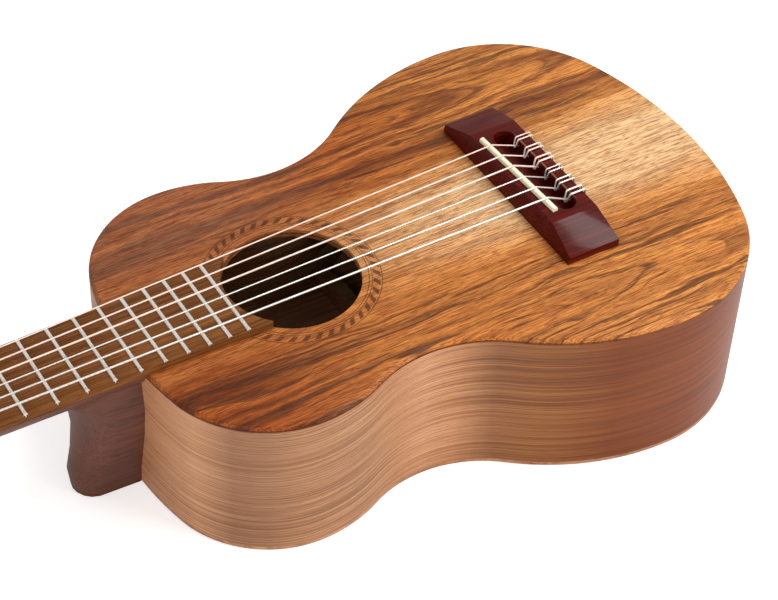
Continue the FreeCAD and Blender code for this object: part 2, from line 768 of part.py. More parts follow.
def nut():
    """The nut, with a slot for each string that falls away towards the head."""
    top = nut_floor() + max(STRING_DIAMETERS) / 2 + NUT_OVER_STRING
    points = [
        Vec(NUT_FRONT, -BOARD_HALF_NUT, neck_top(NUT_FRONT)),
        Vec(NUT_FRONT, -BOARD_HALF_NUT, top),
        Vec(NUT_BACK + NUT_THICKNESS / 3, -BOARD_HALF_NUT, top),
        Vec(NUT_BACK, -BOARD_HALF_NUT, top - NUT_THICKNESS / 3),
        Vec(NUT_BACK, -BOARD_HALF_NUT, neck_top(NUT_BACK)),
    ]
    body = prism(points, Vec(0, 2 * BOARD_HALF_NUT, 0))
    return settled(body.cut([cut for index in range(len(STRING_DIAMETERS)) for cut in nut_slot(index)]))


def nut_slot(index):
    """The cut for one string, along the string's own way over the nut."""
    half = STRING_DIAMETERS[index] / 2 + 2 * STRING_CLEARANCE
    bend = nut_point(index)
    cuts = []
    for way, length in ((Vec(1, 0, 0), 2 * OVERRUN), (coil_entry(index) - bend, NUT_THICKNESS * 2)):
        level = Vec(way.x, way.y, 0)
        heading = FreeCAD.Rotation(Vec(1, 0, 0), level)
        dip = FreeCAD.Rotation(Vec(0, 1, 0), math.degrees(math.atan2(-way.z, level.Length)))
        channel = slab((-half, length), (-half, half), (-half, NUT_THICKNESS))
        cuts.append(placed(channel, FreeCAD.Placement(bend, heading.multiply(dip))))
    return cuts


def saddle_x(y):
    """Centre line of the saddle, slanted so that the bass strings are longer."""
    return SADDLE_X - SADDLE_SLANT * y / (2 * SADDLE_HALF_LENGTH)


def saddle_placement():
    """The saddle's frame: x across it, y along it."""
    turn = math.degrees(math.atan2(SADDLE_SLANT, 2 * SADDLE_HALF_LENGTH))
    return FreeCAD.Placement(Vec(SADDLE_X, 0, 0), FreeCAD.Rotation(UP, turn))


def saddle_blank(low, high):
    """The saddle's plan between two heights."""
    half = SADDLE_THICKNESS / 2
    bar = slab((-half, half), (-SADDLE_HALF_LENGTH, SADDLE_HALF_LENGTH), (low, high))
    return placed(bar, saddle_placement())


def saddle():
    """The saddle: a bar with a rounded crown, seated in the bridge."""
    bar = saddle_blank(BRIDGE_TOP - SADDLE_SEAT, SADDLE_TOP)
    crown = [edge for edge in flat_edges(bar, SADDLE_TOP) if edge.Length > SADDLE_HALF_LENGTH]
    return settled(bar.makeFillet(saddle_crown_radius(), crown))


def saddle_crown_radius():
    """Radius of the crown, a little under half the saddle's thickness."""
    return SADDLE_THICKNESS * SADDLE_CROWN_SHARE


def bridge_blank():
    """The bridge's section drawn along y, with its wings sloped down to the ends."""
    points = [
        Vec(BRIDGE_FRONT, 0, 0),
        Vec(BRIDGE_FRONT, 0, BRIDGE_WING_END / 2),
        Vec(BRIDGE_FRONT + BRIDGE_FRONT_LEAN, 0, BRIDGE_TOP),
        Vec(BRIDGE_BACK - BRIDGE_BACK_LEAN, 0, BRIDGE_TOP),
        Vec(BRIDGE_BACK, 0, 0),
    ]
    half = BRIDGE_HALF_LENGTH
    block = prism([spot - Vec(0, half, 0) for spot in points], Vec(0, 2 * half, 0))
    return block.cut([wing_cut(side) for _, side in SIDES])


def wing_cut(side):
    """What is taken off above one wing."""
    x = BRIDGE_FRONT - OVERRUN
    slope = (BRIDGE_TOP - BRIDGE_WING_END) / (BRIDGE_HALF_LENGTH - BRIDGE_HALF_BLOCK)
    inner, outer = BRIDGE_HALF_BLOCK - OVERRUN, BRIDGE_HALF_LENGTH + OVERRUN
    points = [
        Vec(x, side * inner, BRIDGE_TOP + slope * OVERRUN),
        Vec(x, side * outer, BRIDGE_WING_END - slope * OVERRUN),
        Vec(x, side * outer, BRIDGE_TOP + slope * OVERRUN),
    ]
    return prism(points, Vec(BRIDGE_BACK - BRIDGE_FRONT + 2 * OVERRUN, 0, 0))


def tie_slot():
    """The trough between saddle and tie block, round at both ends."""
    radius = (TIE_FRONT - SLOT_FRONT) / 2
    middle = (TIE_FRONT + SLOT_FRONT) / 2
    flat = SLOT_HALF_LENGTH - radius
    height = BRIDGE_TOP - SLOT_FLOOR + OVERRUN
    trough = slab((SLOT_FRONT, TIE_FRONT), (-flat, flat), (SLOT_FLOOR, SLOT_FLOOR + height))
    ends = [Part.makeCylinder(radius, height, Vec(middle, side * flat, SLOT_FLOOR)) for _, side in SIDES]
    return joined([trough] + ends)


def bridge():
    """The bridge, with its saddle seat, trough and string holes."""
    cuts = [tie_slot(), saddle_blank(BRIDGE_TOP - SADDLE_SEAT, SADDLE_TOP)]
    for index in range(len(STRING_DIAMETERS)):
        y = string_side(index) * SPACING_SADDLE
        start = Vec((SLOT_FRONT + TIE_FRONT) / 2, y, TIE_HOLE_HEIGHT)
        end = Vec(BRIDGE_BACK + OVERRUN, y, TIE_HOLE_HEIGHT)
        cuts.append(flat_bore(SMALL_SIDES, TIE_HOLE_RADIUS, start, end))
    return settled(bridge_blank().cut(cuts))


def rounded_corner(before, corner, after, radius):
    """Points that round a corner, on tangents of the arc of one radius."""
    way_in, way_out = unit(corner - before), unit(after - corner)
    turn = way_in.getAngle(way_out)
    steps = max(1, math.ceil(turn / BEND_STEP))
    half_step = turn / steps / 2
    centre = corner + unit(way_out - way_in) * (radius / math.cos(turn / 2))
    start = unit(corner - way_in * (radius * math.tan(turn / 2)) - centre)
    axis = unit(way_in.cross(way_out))
    spots = []
    for step in range(steps):
        turned_by = FreeCAD.Rotation(axis, math.degrees(half_step * (2 * step + 1)))
        spots.append(centre + turned_by.multVec(start) * (radius / math.cos(half_step)))
    return spots


def rounded_route(points, radii):
    """A route through corner points with every inner corner rounded."""
    route = [points[0]]
    for index in range(1, len(points) - 1):
        route += rounded_corner(points[index - 1], points[index], points[index + 1], radii[index - 1])
    return route + [points[-1]]


def tube(route, radius):
    """A faceted tube along a route, mitred at each of its points."""
    rings = [polygon_points(STRING_SIDES, radius, route[0], route[1] - route[0])]
    for before, here, after in zip(route, route[1:], route[2:] + [route[-1] * 2 - route[-2]]):
        run = unit(here - before)
        mitre = unit(run + unit(after - here))
        ring = [spot + run * ((here - spot).dot(mitre) / run.dot(mitre)) for spot in rings[-1]]
        rings.append(ring)
    faces = [prism_face(rings[0]), prism_face(rings[-1])]
    for low, high in zip(rings, rings[1:]):
        for corner in range(STRING_SIDES):
            after = (corner + 1) % STRING_SIDES
            faces.append(prism_face([low[corner], low[after], high[after], high[corner]]))
    return solid_of(faces)


def post_centre(index):
    """Place of the post that takes a string, in the head frame: outer strings go to the near posts."""
    count = len(STRING_DIAMETERS)
    row = min(index, count - 1 - index)
    side = -1 if index < count // 2 else 1
    return Vec(POST_FIRST + row * POST_STEP, side * POST_OFFSET, 0), side


def coil_point(index, angle):
    """A point of the winding, its angle measured from where the string meets the post."""
    flats = math.cos(math.pi / COIL_STEPS)
    radius = (POST_RADIUS + POST_TO_COIL + STRING_DIAMETERS[index] / 2) / flats
    pitch = STRING_DIAMETERS[index] + COIL_GAP
    centre, side = post_centre(index)
    spot = centre + Vec(radius * math.sin(angle), -side * radius * math.cos(angle), 0)
    return spot + Vec(0, 0, COIL_BOTTOM + pitch * angle / (2 * math.pi))


def coil_entry(index):
    """Where the string first touches its winding, in the playing frame."""
    return head_placement().multVec(coil_point(index, 0))


def coil_route(index):
    """Points of the winding round the post, in the playing frame."""
    frame = head_placement()
    steps = round(COIL_TURNS * COIL_STEPS)
    angles = [2 * math.pi * step / COIL_STEPS for step in range(steps + 1)]
    return [frame.multVec(coil_point(index, angle)) for angle in angles]


def saddle_bend(index, before, after):
    """The corner of a string over the saddle's crown, and the radius of its arc."""
    y = string_side(index) * SPACING_SADDLE
    crown = saddle_crown_radius()
    centre = Vec(saddle_x(y) + SADDLE_THICKNESS / 2 - crown, y, SADDLE_TOP - crown)
    radius = crown + STRING_DIAMETERS[index] / 2 + STRING_CLEARANCE
    over = centre + Vec(0, 0, radius)
    way_in, way_out = unit(over - before), unit(after - over)
    outward = unit(way_in - way_out)
    half_turn = way_in.getAngle(way_out) / 2
    return centre + outward * (radius / math.cos(half_turn)), radius


def knot_points(index):
    """The string from its hole: out behind the tie block, over it, under itself and back."""
    radius = STRING_DIAMETERS[index] / 2
    y = string_side(index) * SPACING_SADDLE
    step = radius * 2 + LOOP_GAP
    behind = BRIDGE_BACK + radius + LOOP_GAP
    before = TIE_FRONT - radius - LOOP_GAP
    over = BRIDGE_TOP + radius + LOOP_GAP / 2
    under = TIE_HOLE_HEIGHT
    knot = before - step
    return [
        Vec(behind, y, TIE_HOLE_HEIGHT),
        Vec(behind, y + step, over),
        Vec(before, y + step, over),
        Vec(knot, y + step / 2, under),
        Vec(knot, y - step / 2, under),
        Vec(before, y - step, over),
        Vec(behind, y - step, over),
        Vec(behind, y - step, over - TAIL_LENGTH),
    ]


def string_route(index):
    """The whole centre line of one string, from its tail at the bridge to its winding."""
    knot = knot_points(index)
    hole = Vec(TIE_FRONT, knot[0].y, TIE_HOLE_HEIGHT)
    nut_bend, entry = nut_point(index), coil_entry(index)
    saddle_corner, saddle_radius = saddle_bend(index, nut_bend, hole)
    points = knot[::-1] + [hole, saddle_corner, nut_bend, entry]
    bend = LOOP_BEND * STRING_DIAMETERS[index]
    radii = [bend] * len(knot) + [saddle_radius, bend]
    return rounded_route(points, radii) + coil_route(index)[1:]


def string(index):
    """One string, whole."""
    return settled(tube(string_route(index), STRING_DIAMETERS[index] / 2))


def shaft_section(x, top, half_width, depth):
    """A section of the neck shaft: flat on top, with a round back in small flats."""
    radius = (half_width ** 2 + depth ** 2) / (2 * depth)
    half_angle = math.asin(half_width / radius)
    spots = []
    for step in range(NECK_FLATS + 1):
        angle = half_angle * (1 - 2 * step / NECK_FLATS)
        spots.append(Vec(x, radius * math.sin(angle), top - depth + radius - radius * math.cos(angle)))
    return Part.makePolygon(spots + spots[:1])


def neck_depth(x):
    """Depth of the shaft below the fretboard, in step with its width."""
    return NECK_DEPTH * board_half_width(x) / BOARD_HALF_JOIN


def neck_shaft():
    """The shaft between heel and head, and its run into the head."""
    x_head = NUT_BACK - NECK_INTO_HEAD
    x_heel = X_NECK + NECK_PAST_JOIN
    at_nut, at_heel = [
        shaft_section(x, neck_top(x), board_half_width(x), neck_depth(x)) for x in (NUT_BACK, x_heel)
    ]
    drop = math.tan(math.radians(HEAD_TILT)) * NECK_INTO_HEAD
    head_top = neck_top(NUT_BACK) - drop - VENEER_THICKNESS
    depth = HEAD_THICKNESS - 2 * VENEER_THICKNESS
    in_head = shaft_section(x_head, head_top, board_half_width(NUT_BACK), depth)
    return [Part.makeLoft([at_nut, at_heel], True, True), Part.makeLoft([in_head, at_nut], True, True)]


def heel_section(height, reach, half_width):
    """A level section of the heel: straight cheeks from the body and a round nose in small flats."""
    x_body = X_NECK + NECK_PAST_JOIN
    half_nose = half_width * HEEL_NOSE_WIDTH_SHARE
    nose = min(reach * HEEL_NOSE_LENGTH_SHARE, half_nose * HEEL_NOSE_ROUND_SHARE)
    radius = (half_nose ** 2 + nose ** 2) / (2 * nose)
    half_angle = math.asin(half_nose / radius)
    spots = [Vec(x_body, -half_width, height), Vec(x_body, half_width, height)]
    for step in range(HEEL_FLATS + 1):
        angle = half_angle * (1 - 2 * step / HEEL_FLATS)
        x = X_NECK - reach + radius - radius * math.cos(angle)
        spots.append(Vec(x, radius * math.sin(angle), height))
    return Part.makePolygon(spots + spots[:1])


def heel_column():
    """The heel drawn down past the back."""
    wires = []
    for down, reach, wide in HEEL_SECTION_SHARES:
        wires.append(heel_section(-DEPTH_NECK * down, HEEL_REACH * reach, HEEL_HALF_WIDTH * wide))
    return Part.makeLoft(wires, True, True)


def neck():
    """Shaft, heel, dovetail and head, carved from one piece of wood."""
    stock = joined(neck_shaft() + [heel_column()]).cut(body_column(0))
    stock = joined([stock, dovetail(0).cut(neck_clear_box())])
    stock = settled(stock).cut(level_slab(-DEPTH_MOST, HEEL_CAP_THICKNESS))
    head = on_head(head_blank(HEAD_BACK, -VENEER_THICKNESS))
    stock = joined([stock, head.cut(settled(nut_clear_box()))])
    return stock.cut([on_head(hole) for hole in head_holes() + [head_blank(-VENEER_THICKNESS, 0)]])


def neck_clear_box():
    """The space above the dovetail that belongs to the soundboard."""
    x_span = (X_NECK - 2 * OVERRUN, X_NECK + DOVETAIL_LENGTH)
    return slab(x_span, (-HALF_UPPER, HALF_UPPER), (-TOP_THICKNESS, OVERRUN))


def nut_clear_box():
    """The space in front of the head that belongs to nut and neck."""
    low, half = neck_top(NUT_BACK), BOARD_HALF_NUT * 2
    return slab((NUT_BACK, NUT_FRONT), (-half, half), (low, low + NUT_THICKNESS * 2))


def heel_cap():
    """The thin cap under the heel, flush with the back."""
    foot = heel_column().cut(body_column(0))
    return settled(foot).common(level_slab(0, HEEL_CAP_THICKNESS))


def head_edge(side):
    """One long edge of the head: a flare of two arcs from the nut, then a straight side."""
    rise = (HEAD_HALF_SHOULDER - BOARD_HALF_NUT) / 2
    reach = HEAD_SHOULDER / 2
    radius = (reach ** 2 + rise ** 2) / (2 * rise)
    half_turn = math.asin(reach / radius) / 2
    along, out = radius * math.sin(half_turn), radius * (1 - math.cos(half_turn))
    low, high = BOARD_HALF_NUT, HEAD_HALF_SHOULDER
    first = [(0, low), (along, low + out), (reach, low + rise)]
    spots = first + [(2 * reach - along, high - out), (2 * reach, high)]
    spots = [Vec(x, side * y, 0) for x, y in spots]
    tip = Vec(HEAD_LENGTH - HEAD_CROWN, side * HEAD_HALF_TIP, 0)
    return [Part.Arc(*spots[:3]).toShape(), Part.Arc(*spots[2:]).toShape(), Part.makeLine(spots[-1], tip)]


def head_blank(low, high):
    """The head's plan between two heights, with rounded corners at the tip."""
    half = HEAD_HALF_TIP
    x_corner = HEAD_LENGTH - HEAD_CROWN
    tip = Part.Arc(Vec(x_corner, half, 0), Vec(HEAD_LENGTH, 0, 0), Vec(x_corner, -half, 0))
    start = Part.makeLine(Vec(0, -BOARD_HALF_NUT, 0), Vec(0, BOARD_HALF_NUT, 0))
    edges = head_edge(1) + head_edge(-1) + [tip.toShape(), start]
    blank = column(Part.Face(Part.Wire(Part.__sortEdges__(edges))), low, high)
    corners = []
    for edge in blank.Edges:
        middle = edge.CenterOfMass
        upright = edge.BoundBox.ZLength > (high - low) / 2
        if upright and middle.x > HEAD_LENGTH - 2 * HEAD_CROWN:
            corners.append(edge)
    return blank.makeFillet(HEAD_CORNER_RADIUS, corners)


def head_holes():
    """Holes through the head for the posts and their bushings, and for the plate screws."""
    holes = []
    for index in range(len(STRING_DIAMETERS)):
        centre, _ = post_centre(index)
        deep = centre - Vec(0, 0, BUSH_DEPTH)
        holes.append(regular_prism(ROUND_SIDES, BUSH_SLEEVE_RADIUS, deep, centre + Vec(0, 0, OVERRUN)))
        back = centre + Vec(0, 0, HEAD_BACK - OVERRUN)
        holes.append(flat_bore(ROUND_SIDES, POST_RADIUS + 2 * RUNNING_CLEARANCE, back, centre))
    for spot in plate_screw_places():
        start = Vec(spot.x, spot.y, HEAD_BACK - OVERRUN)
        end = Vec(spot.x, spot.y, HEAD_BACK + PLATE_SCREW_LENGTH)
        holes.append(regular_prism(SMALL_SIDES, PLATE_SCREW_RADIUS, start, end))
    return holes


def head_veneer():
    """The thin facing of the head, trimmed square against the nut."""
    facing = head_blank(-VENEER_THICKNESS, 0)
    facing = facing.cut([hole for hole in head_holes()])
    return on_head(facing).cut(settled(nut_clear_box()))


def bushings():
    """The six collars that guide the posts through the head's face."""
    collars = []
    for index in range(len(STRING_DIAMETERS)):
        face, _ = post_centre(index)
        deep, high = face - Vec(0, 0, BUSH_DEPTH), face + Vec(0, 0, BUSH_FLANGE_HEIGHT)
        sleeve = regular_prism(ROUND_SIDES, BUSH_SLEEVE_RADIUS, deep, high)
        flange = regular_prism(ROUND_SIDES, BUSH_FLANGE_RADIUS, face, high)
        rise = Vec(0, 0, OVERRUN)
        bore = flat_bore(SMALL_SIDES, POST_RADIUS + RUNNING_CLEARANCE, deep - rise, high + rise)
        collars.append(on_head(joined([sleeve, flange]).cut(bore)))
    return collars


def side_posts(side):
    """The strings whose posts are on one side of the head, bass being +1 in the head frame."""
    return [index for index in range(len(STRING_DIAMETERS)) if post_centre(index)[1] == side]


def plate_span():
    """Ends of a tuner plate along the head."""
    return POST_FIRST - WORM_OFFSET - PLATE_MARGIN, POST_FIRST + (TUNER_ROWS - 1) * POST_STEP + PLATE_MARGIN


def plate_screw_places():
    """Places of the screws: one past each end tuner and one between neighbours, on both sides."""
    start, end = plate_span()
    stations = [start + PLATE_MARGIN / 3, end - PLATE_MARGIN / 3]
    for row in range(TUNER_ROWS - 1):
        stations.append(POST_FIRST + (row + 0.5) * POST_STEP - WORM_OFFSET / 2)
    return [Vec(x, side * POST_OFFSET, 0) for x in sorted(stations) for _, side in SIDES]


def worm_half():
    """Half the length of a worm's threaded core."""
    return WORM_HALF_LENGTH + half_thread_root() + WORM_SINK


def ear_offset():
    """Distance from the middle of a worm to the middle of either ear."""
    return worm_half() + EAR_GAP + EAR_THICKNESS / 2


def ear(x, y):
    """One ear of a plate: a tab with cut corners and a bearing hole for the worm's shaft."""
    low, high = y - EAR_THICKNESS / 2, y + EAR_THICKNESS / 2
    half = EAR_RADIUS
    tip = half * EAR_TIP_SHARE
    plan = [(half, PLATE_BACK), (half, WORM_LEVEL - tip), (tip, WORM_LEVEL - half)]
    plan += [(-across, level) for across, level in reversed(plan)]
    tab = prism([Vec(x + across, low, level) for across, level in plan], Vec(0, EAR_THICKNESS, 0))
    start, end = Vec(x, low - OVERRUN, WORM_LEVEL), Vec(x, high + OVERRUN, WORM_LEVEL)
    return tab.cut(flat_bore(SMALL_SIDES, SHAFT_RADIUS + RUNNING_CLEARANCE, start, end))


def tuner_plate(side):
    """The plate that carries three machines: cut corners, ears, post holes and screw holes."""
    start, end = plate_span()
    half = PLATE_HALF_WIDTH
    cut = half * PLATE_CORNER_SHARE
    y = side * POST_OFFSET
    low = PLATE_BACK
    spots = [(start, half - cut), (start + cut, half), (end - cut, half), (end, half - cut)]
    plan = [Vec(x, y + across, low) for x, across in spots]
    plan += [Vec(x, y - across, low) for x, across in reversed(spots)]
    pieces = [prism(plan, Vec(0, 0, PLATE_THICKNESS))]
    holes = []
    rise = Vec(0, 0, OVERRUN)
    for index in side_posts(side):
        centre, _ = post_centre(index)
        for offset in (-ear_offset(), ear_offset()):
            pieces.append(ear(centre.x - WORM_OFFSET, centre.y + offset))
        under, over = centre + Vec(0, 0, PLATE_BACK) - rise, centre + Vec(0, 0, HEAD_BACK) + rise
        holes.append(flat_bore(SMALL_SIDES, POST_RADIUS + RUNNING_CLEARANCE, under, over))
    for spot in plate_screw_places():
        under, over = spot + Vec(0, 0, PLATE_BACK) - rise, spot + Vec(0, 0, HEAD_BACK) + rise
        holes.append(regular_prism(SMALL_SIDES, PLATE_SCREW_RADIUS, under, over))
    return on_head(joined(pieces).cut(holes))


def plate_screws():
    """The screws that hold both plates to the back of the head."""
    screws = []
    for spot in plate_screw_places():
        face = spot + Vec(0, 0, PLATE_BACK)
        under = face - Vec(0, 0, PLATE_SCREW_HEAD_HEIGHT)
        head = regular_prism(SMALL_SIDES, PLATE_SCREW_HEAD_RADIUS, under, face)
        end = spot + Vec(0, 0, HEAD_BACK + PLATE_SCREW_LENGTH)
        screws.append(on_head(joined([head, regular_prism(SMALL_SIDES, PLATE_SCREW_RADIUS, face, end)])))
    return screws


def post(index):
    """A string post with its square gear seat, and the screw that holds the gear on it."""
    centre, _ = post_centre(index)
    rim = POST_RADIUS + POST_RIM
    hole_height = coil_top(index) + POST_HOLE_RADIUS
    under = Vec(0, 0, GEAR_BOTTOM)
    seat = regular_prism(SEAT_SIDES, GEAR_SEAT_RADIUS, under, Vec(0, 0, GEAR_TOP))
    stem = regular_prism(ROUND_SIDES, POST_RADIUS, Vec(0, 0, GEAR_TOP), Vec(0, 0, POST_TOP))
    cap = regular_prism(ROUND_SIDES, rim, Vec(0, 0, POST_TOP - 2 * POST_RIM), Vec(0, 0, POST_TOP))
    inner = under + Vec(0, 0, GEAR_SCREW_LENGTH)
    shank = regular_prism(SMALL_SIDES, GEAR_SCREW_RADIUS, under, inner)
    eye = regular_prism(SMALL_SIDES, POST_HOLE_RADIUS, Vec(0, -rim, hole_height), Vec(0, rim, hole_height))
    below = under - Vec(0, 0, GEAR_SCREW_HEAD_HEIGHT)
    head = Part.makeCylinder(GEAR_SCREW_HEAD_RADIUS, GEAR_SCREW_HEAD_HEIGHT, below)
    pieces = []
    for piece in (joined([seat, stem, cap]).cut([shank, eye]), joined([head, shank])):
        piece.translate(centre)
        pieces.append(on_head(piece))
    return pieces


def coil_top(index):
    """Height of the end of a winding above the face of the head."""
    return COIL_BOTTOM + (STRING_DIAMETERS[index] + COIL_GAP) * (COIL_TURNS + 1 / 2)


def gear_blank():
    """The gear wheel about z, thickness centred on z = 0, with a tooth space towards -x."""
    radius = GEAR_RADIUS + GEAR_ADDENDUM
    half = GEAR_THICKNESS / 2
    wheel = flat_bore(GEAR_TEETH, radius, Vec(0, 0, -half), Vec(0, 0, half))
    reach = half + OVERRUN
    bore = regular_prism(SEAT_SIDES, GEAR_SEAT_RADIUS, Vec(0, 0, -reach), Vec(0, 0, reach))
    spread = math.tan(math.radians(GEAR_FLANK_ANGLE))
    half_space = GEAR_PITCH / 4 + GEAR_SPACE_EASE
    half_root = half_space - GEAR_DEDENDUM * spread
    half_rim = half_space + (GEAR_ADDENDUM + OVERRUN) * spread
    root, rim = GEAR_RADIUS - GEAR_DEDENDUM, radius + OVERRUN
    skew = Vec(0, math.tan(WORM_LEAD_ANGLE), -1) * reach
    plan = ((root, half_root), (rim, half_rim), (rim, -half_rim), (root, -half_root))
    space = prism([Vec(-far, across, 0) - skew for far, across in plan], skew * 2)
    cuts = [bore]
    for tooth in range(GEAR_TEETH):
        cuts.append(placed(space, FreeCAD.Placement(ORIGIN, FreeCAD.Rotation(UP, 360 * tooth / GEAR_TEETH))))
    return wheel.cut(cuts)


def gear(index):
    """A gear wheel on its post, with skew teeth in mesh with the worm."""
    centre, _ = post_centre(index)
    seat = FreeCAD.Placement(centre + Vec(0, 0, WORM_LEVEL), FreeCAD.Rotation())
    return on_head(placed(gear_blank(), seat))


def worm_thread():
    """The right-handed thread about z, its crest at z = 0 on the +x side."""
    spread = math.tan(math.radians(WORM_FLANK_ANGLE))
    half = GEAR_PITCH / 4 - WORM_FLANK_CLEARANCE
    half_tip = half - GEAR_ADDENDUM * spread
    half_root = half_thread_root() + WORM_SINK * spread
    root = WORM_ROOT - WORM_SINK
    steps = round(WORM_TURNS * WORM_SIDES)
    rings = []
    for step in range(steps + 1):
        turn = (step - steps / 2) / WORM_SIDES
        out = Vec(math.cos(2 * math.pi * turn), math.sin(2 * math.pi * turn), 0)
        middle = UP * (GEAR_PITCH * turn)
        corners = [(root, -half_root), (WORM_TIP, -half_tip), (WORM_TIP, half_tip), (root, half_root)]
        rings.append([middle + out * far + UP * rise for far, rise in corners])
    faces = [prism_face(rings[0]), prism_face(rings[-1])]
    for low, high in zip(rings, rings[1:]):
        for corner in range(len(low)):
            after = (corner + 1) % len(low)
            faces.append(prism_face([low[corner], low[after], high[corner]]))
            faces.append(prism_face([low[after], high[after], high[corner]]))
    return solid_of(faces)


def worm_blank(side):
    """The worm and its shaft about z, the knob end towards side."""
    core = regular_prism(WORM_SIDES, WORM_ROOT, Vec(0, 0, -worm_half()), Vec(0, 0, worm_half()))
    inner = ear_offset() + EAR_THICKNESS / 2 + SHAFT_STUB
    outer = ear_offset() + SHAFT_OUTREACH + SHAFT_IN_KNOB
    journal = Part.makeCylinder(SHAFT_RADIUS, inner - worm_half(), Vec(0, 0, -side * inner), UP * side)
    shaft = regular_prism(SHAFT_SIDES, SHAFT_RADIUS, ORIGIN, UP * (side * outer))
    return joined([core, journal, shaft]).fuse(worm_thread())


def half_thread_root():
    """Half the width of the thread where it leaves the core."""
    spread = math.tan(math.radians(WORM_FLANK_ANGLE))
    return GEAR_PITCH / 4 - WORM_FLANK_CLEARANCE + GEAR_DEDENDUM * spread


def worm_placement(index):
    """The worm's frame: its z along the head frame's y, its x towards the gear."""
    centre, _ = post_centre(index)
    spot = Vec(centre.x - WORM_OFFSET, centre.y, WORM_LEVEL)
    return FreeCAD.Placement(spot, FreeCAD.Rotation(Vec(1, 0, 0), -90))


def worm(index):
    """A worm with its shaft, between the ears of the plate."""
    side = post_centre(index)[1]
    return on_head(placed(worm_blank(side), worm_placement(index)))


def knob(index):
    """A flat tuning button, pressed on the end of the worm's shaft."""
    side = post_centre(index)[1]
    start = ear_offset() + SHAFT_OUTREACH
    half = KNOB_THICKNESS / 2
    plan = [Vec(KNOB_HALF_WIDTH * wide, -half, KNOB_LENGTH * far) for wide, far in KNOB_SHARES]
    plan += [Vec(-spot.x, spot.y, spot.z) for spot in reversed(plan)]
    button = prism(plan, Vec(0, KNOB_THICKNESS, 0))
    rims = []
    for edge in button.Edges:
        box = edge.BoundBox
        if box.YLength < LEVEL and box.ZMax > LEVEL:
            rims.append(edge)
    button = button.makeChamfer(KNOB_EDGE, rims)
    button.translate(Vec(0, 0, start))
    mouth, floor = Vec(0, 0, start - OVERRUN), Vec(0, 0, start + SHAFT_IN_KNOB)
    bore = regular_prism(SHAFT_SIDES, SHAFT_RADIUS, mouth, floor)
    button = button.cut(bore)
    if side < 0:
        button = placed(button, FreeCAD.Placement(ORIGIN, FreeCAD.Rotation(Vec(1, 0, 0), 180)))
    return on_head(placed(button, worm_placement(index)))


def least_gap(index):
    """Least clear gap between turns of one winding, measured on points of its centre line."""
    spots = coil_route(index)
    apart = COIL_STEPS // 2
    gaps = []
    for first in range(len(spots)):
        for second in range(first + apart, len(spots)):
            gaps.append((spots[first] - spots[second]).Length)
    return min(gaps) - STRING_DIAMETERS[index]


def save(name, shapes):
    """Write one node from its solids."""
    shapes = shapes if isinstance(shapes, list) else [shapes]
    solids = [solid for shape in shapes for solid in shape.Solids]
    body = solids[0] if len(solids) == 1 else Part.makeCompound(solids)
    body.exportStep(os.path.join("parts", name + ".step"))


def save_body():
    """The sound box, inside and out."""
    save("soundboard", soundboard())
    save("rosette_ring", rosette_ring())
    save("back_plate", back_plate())
    for name, side in SIDES:
        save("rib_" + name, rib(side))
        save("top_lining_" + name, lining(side, False))
        save("back_lining_" + name, lining(side, True))
    save("neck_block", neck_block())
    save("tail_block", tail_block())
    save("soundhole_patch", soundhole_patch())
    save("top_bracing", top_bracing())
    save("bridge_plate", bridge_plate())
    save("back_bars", back_bars())
    save("back_strip", back_strip())


def save_neck():
    """The neck and what is glued to it."""
    save("neck", neck())
    save("heel_cap", heel_cap())
    save("head_veneer", head_veneer())
    save("fretboard", fretboard())
    save("frets", [fret(number) for number in range(1, FRET_COUNT + 1)])
    save("nut", nut())


def save_strings():
    """The bridge, its saddle and the strings."""
    save("bridge", bridge())
    save("saddle", saddle())
    for index in range(len(STRING_DIAMETERS)):
        save("string_%d" % (index + 1), string(index))
        print("string", index + 1, "least gap between turns", round(least_gap(index), 2))


def save_tuners():
    """The tuning machines."""
    save("post_bushings", bushings())
    save("plate_screws", plate_screws())
    for name, side in (("bass", 1), ("treble", -1)):
        save("tuner_plate_" + name, tuner_plate(side))
    for index in range(len(STRING_DIAMETERS)):
        number = str(index + 1)
        save("post_" + number, post(index))
        save("gear_" + number, gear(index))
        save("worm_" + number, worm(index))
        save("knob_" + number, knob(index))


def main():
    """Build every node."""
    os.makedirs("parts", exist_ok=True)
    save_body()
    save_neck()
    save_strings()
    save_tuners()


if __name__ == "__main__":
    main()
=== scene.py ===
"""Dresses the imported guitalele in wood, bone, nylon and nickel, under soft studio light."""

from __future__ import annotations

import json
import logging
import math
from contextlib import contextmanager
from dataclasses import dataclass
from enum import Enum
from typing import Callable, Iterator, Sequence

import bpy
from mathutils import Matrix, Vector

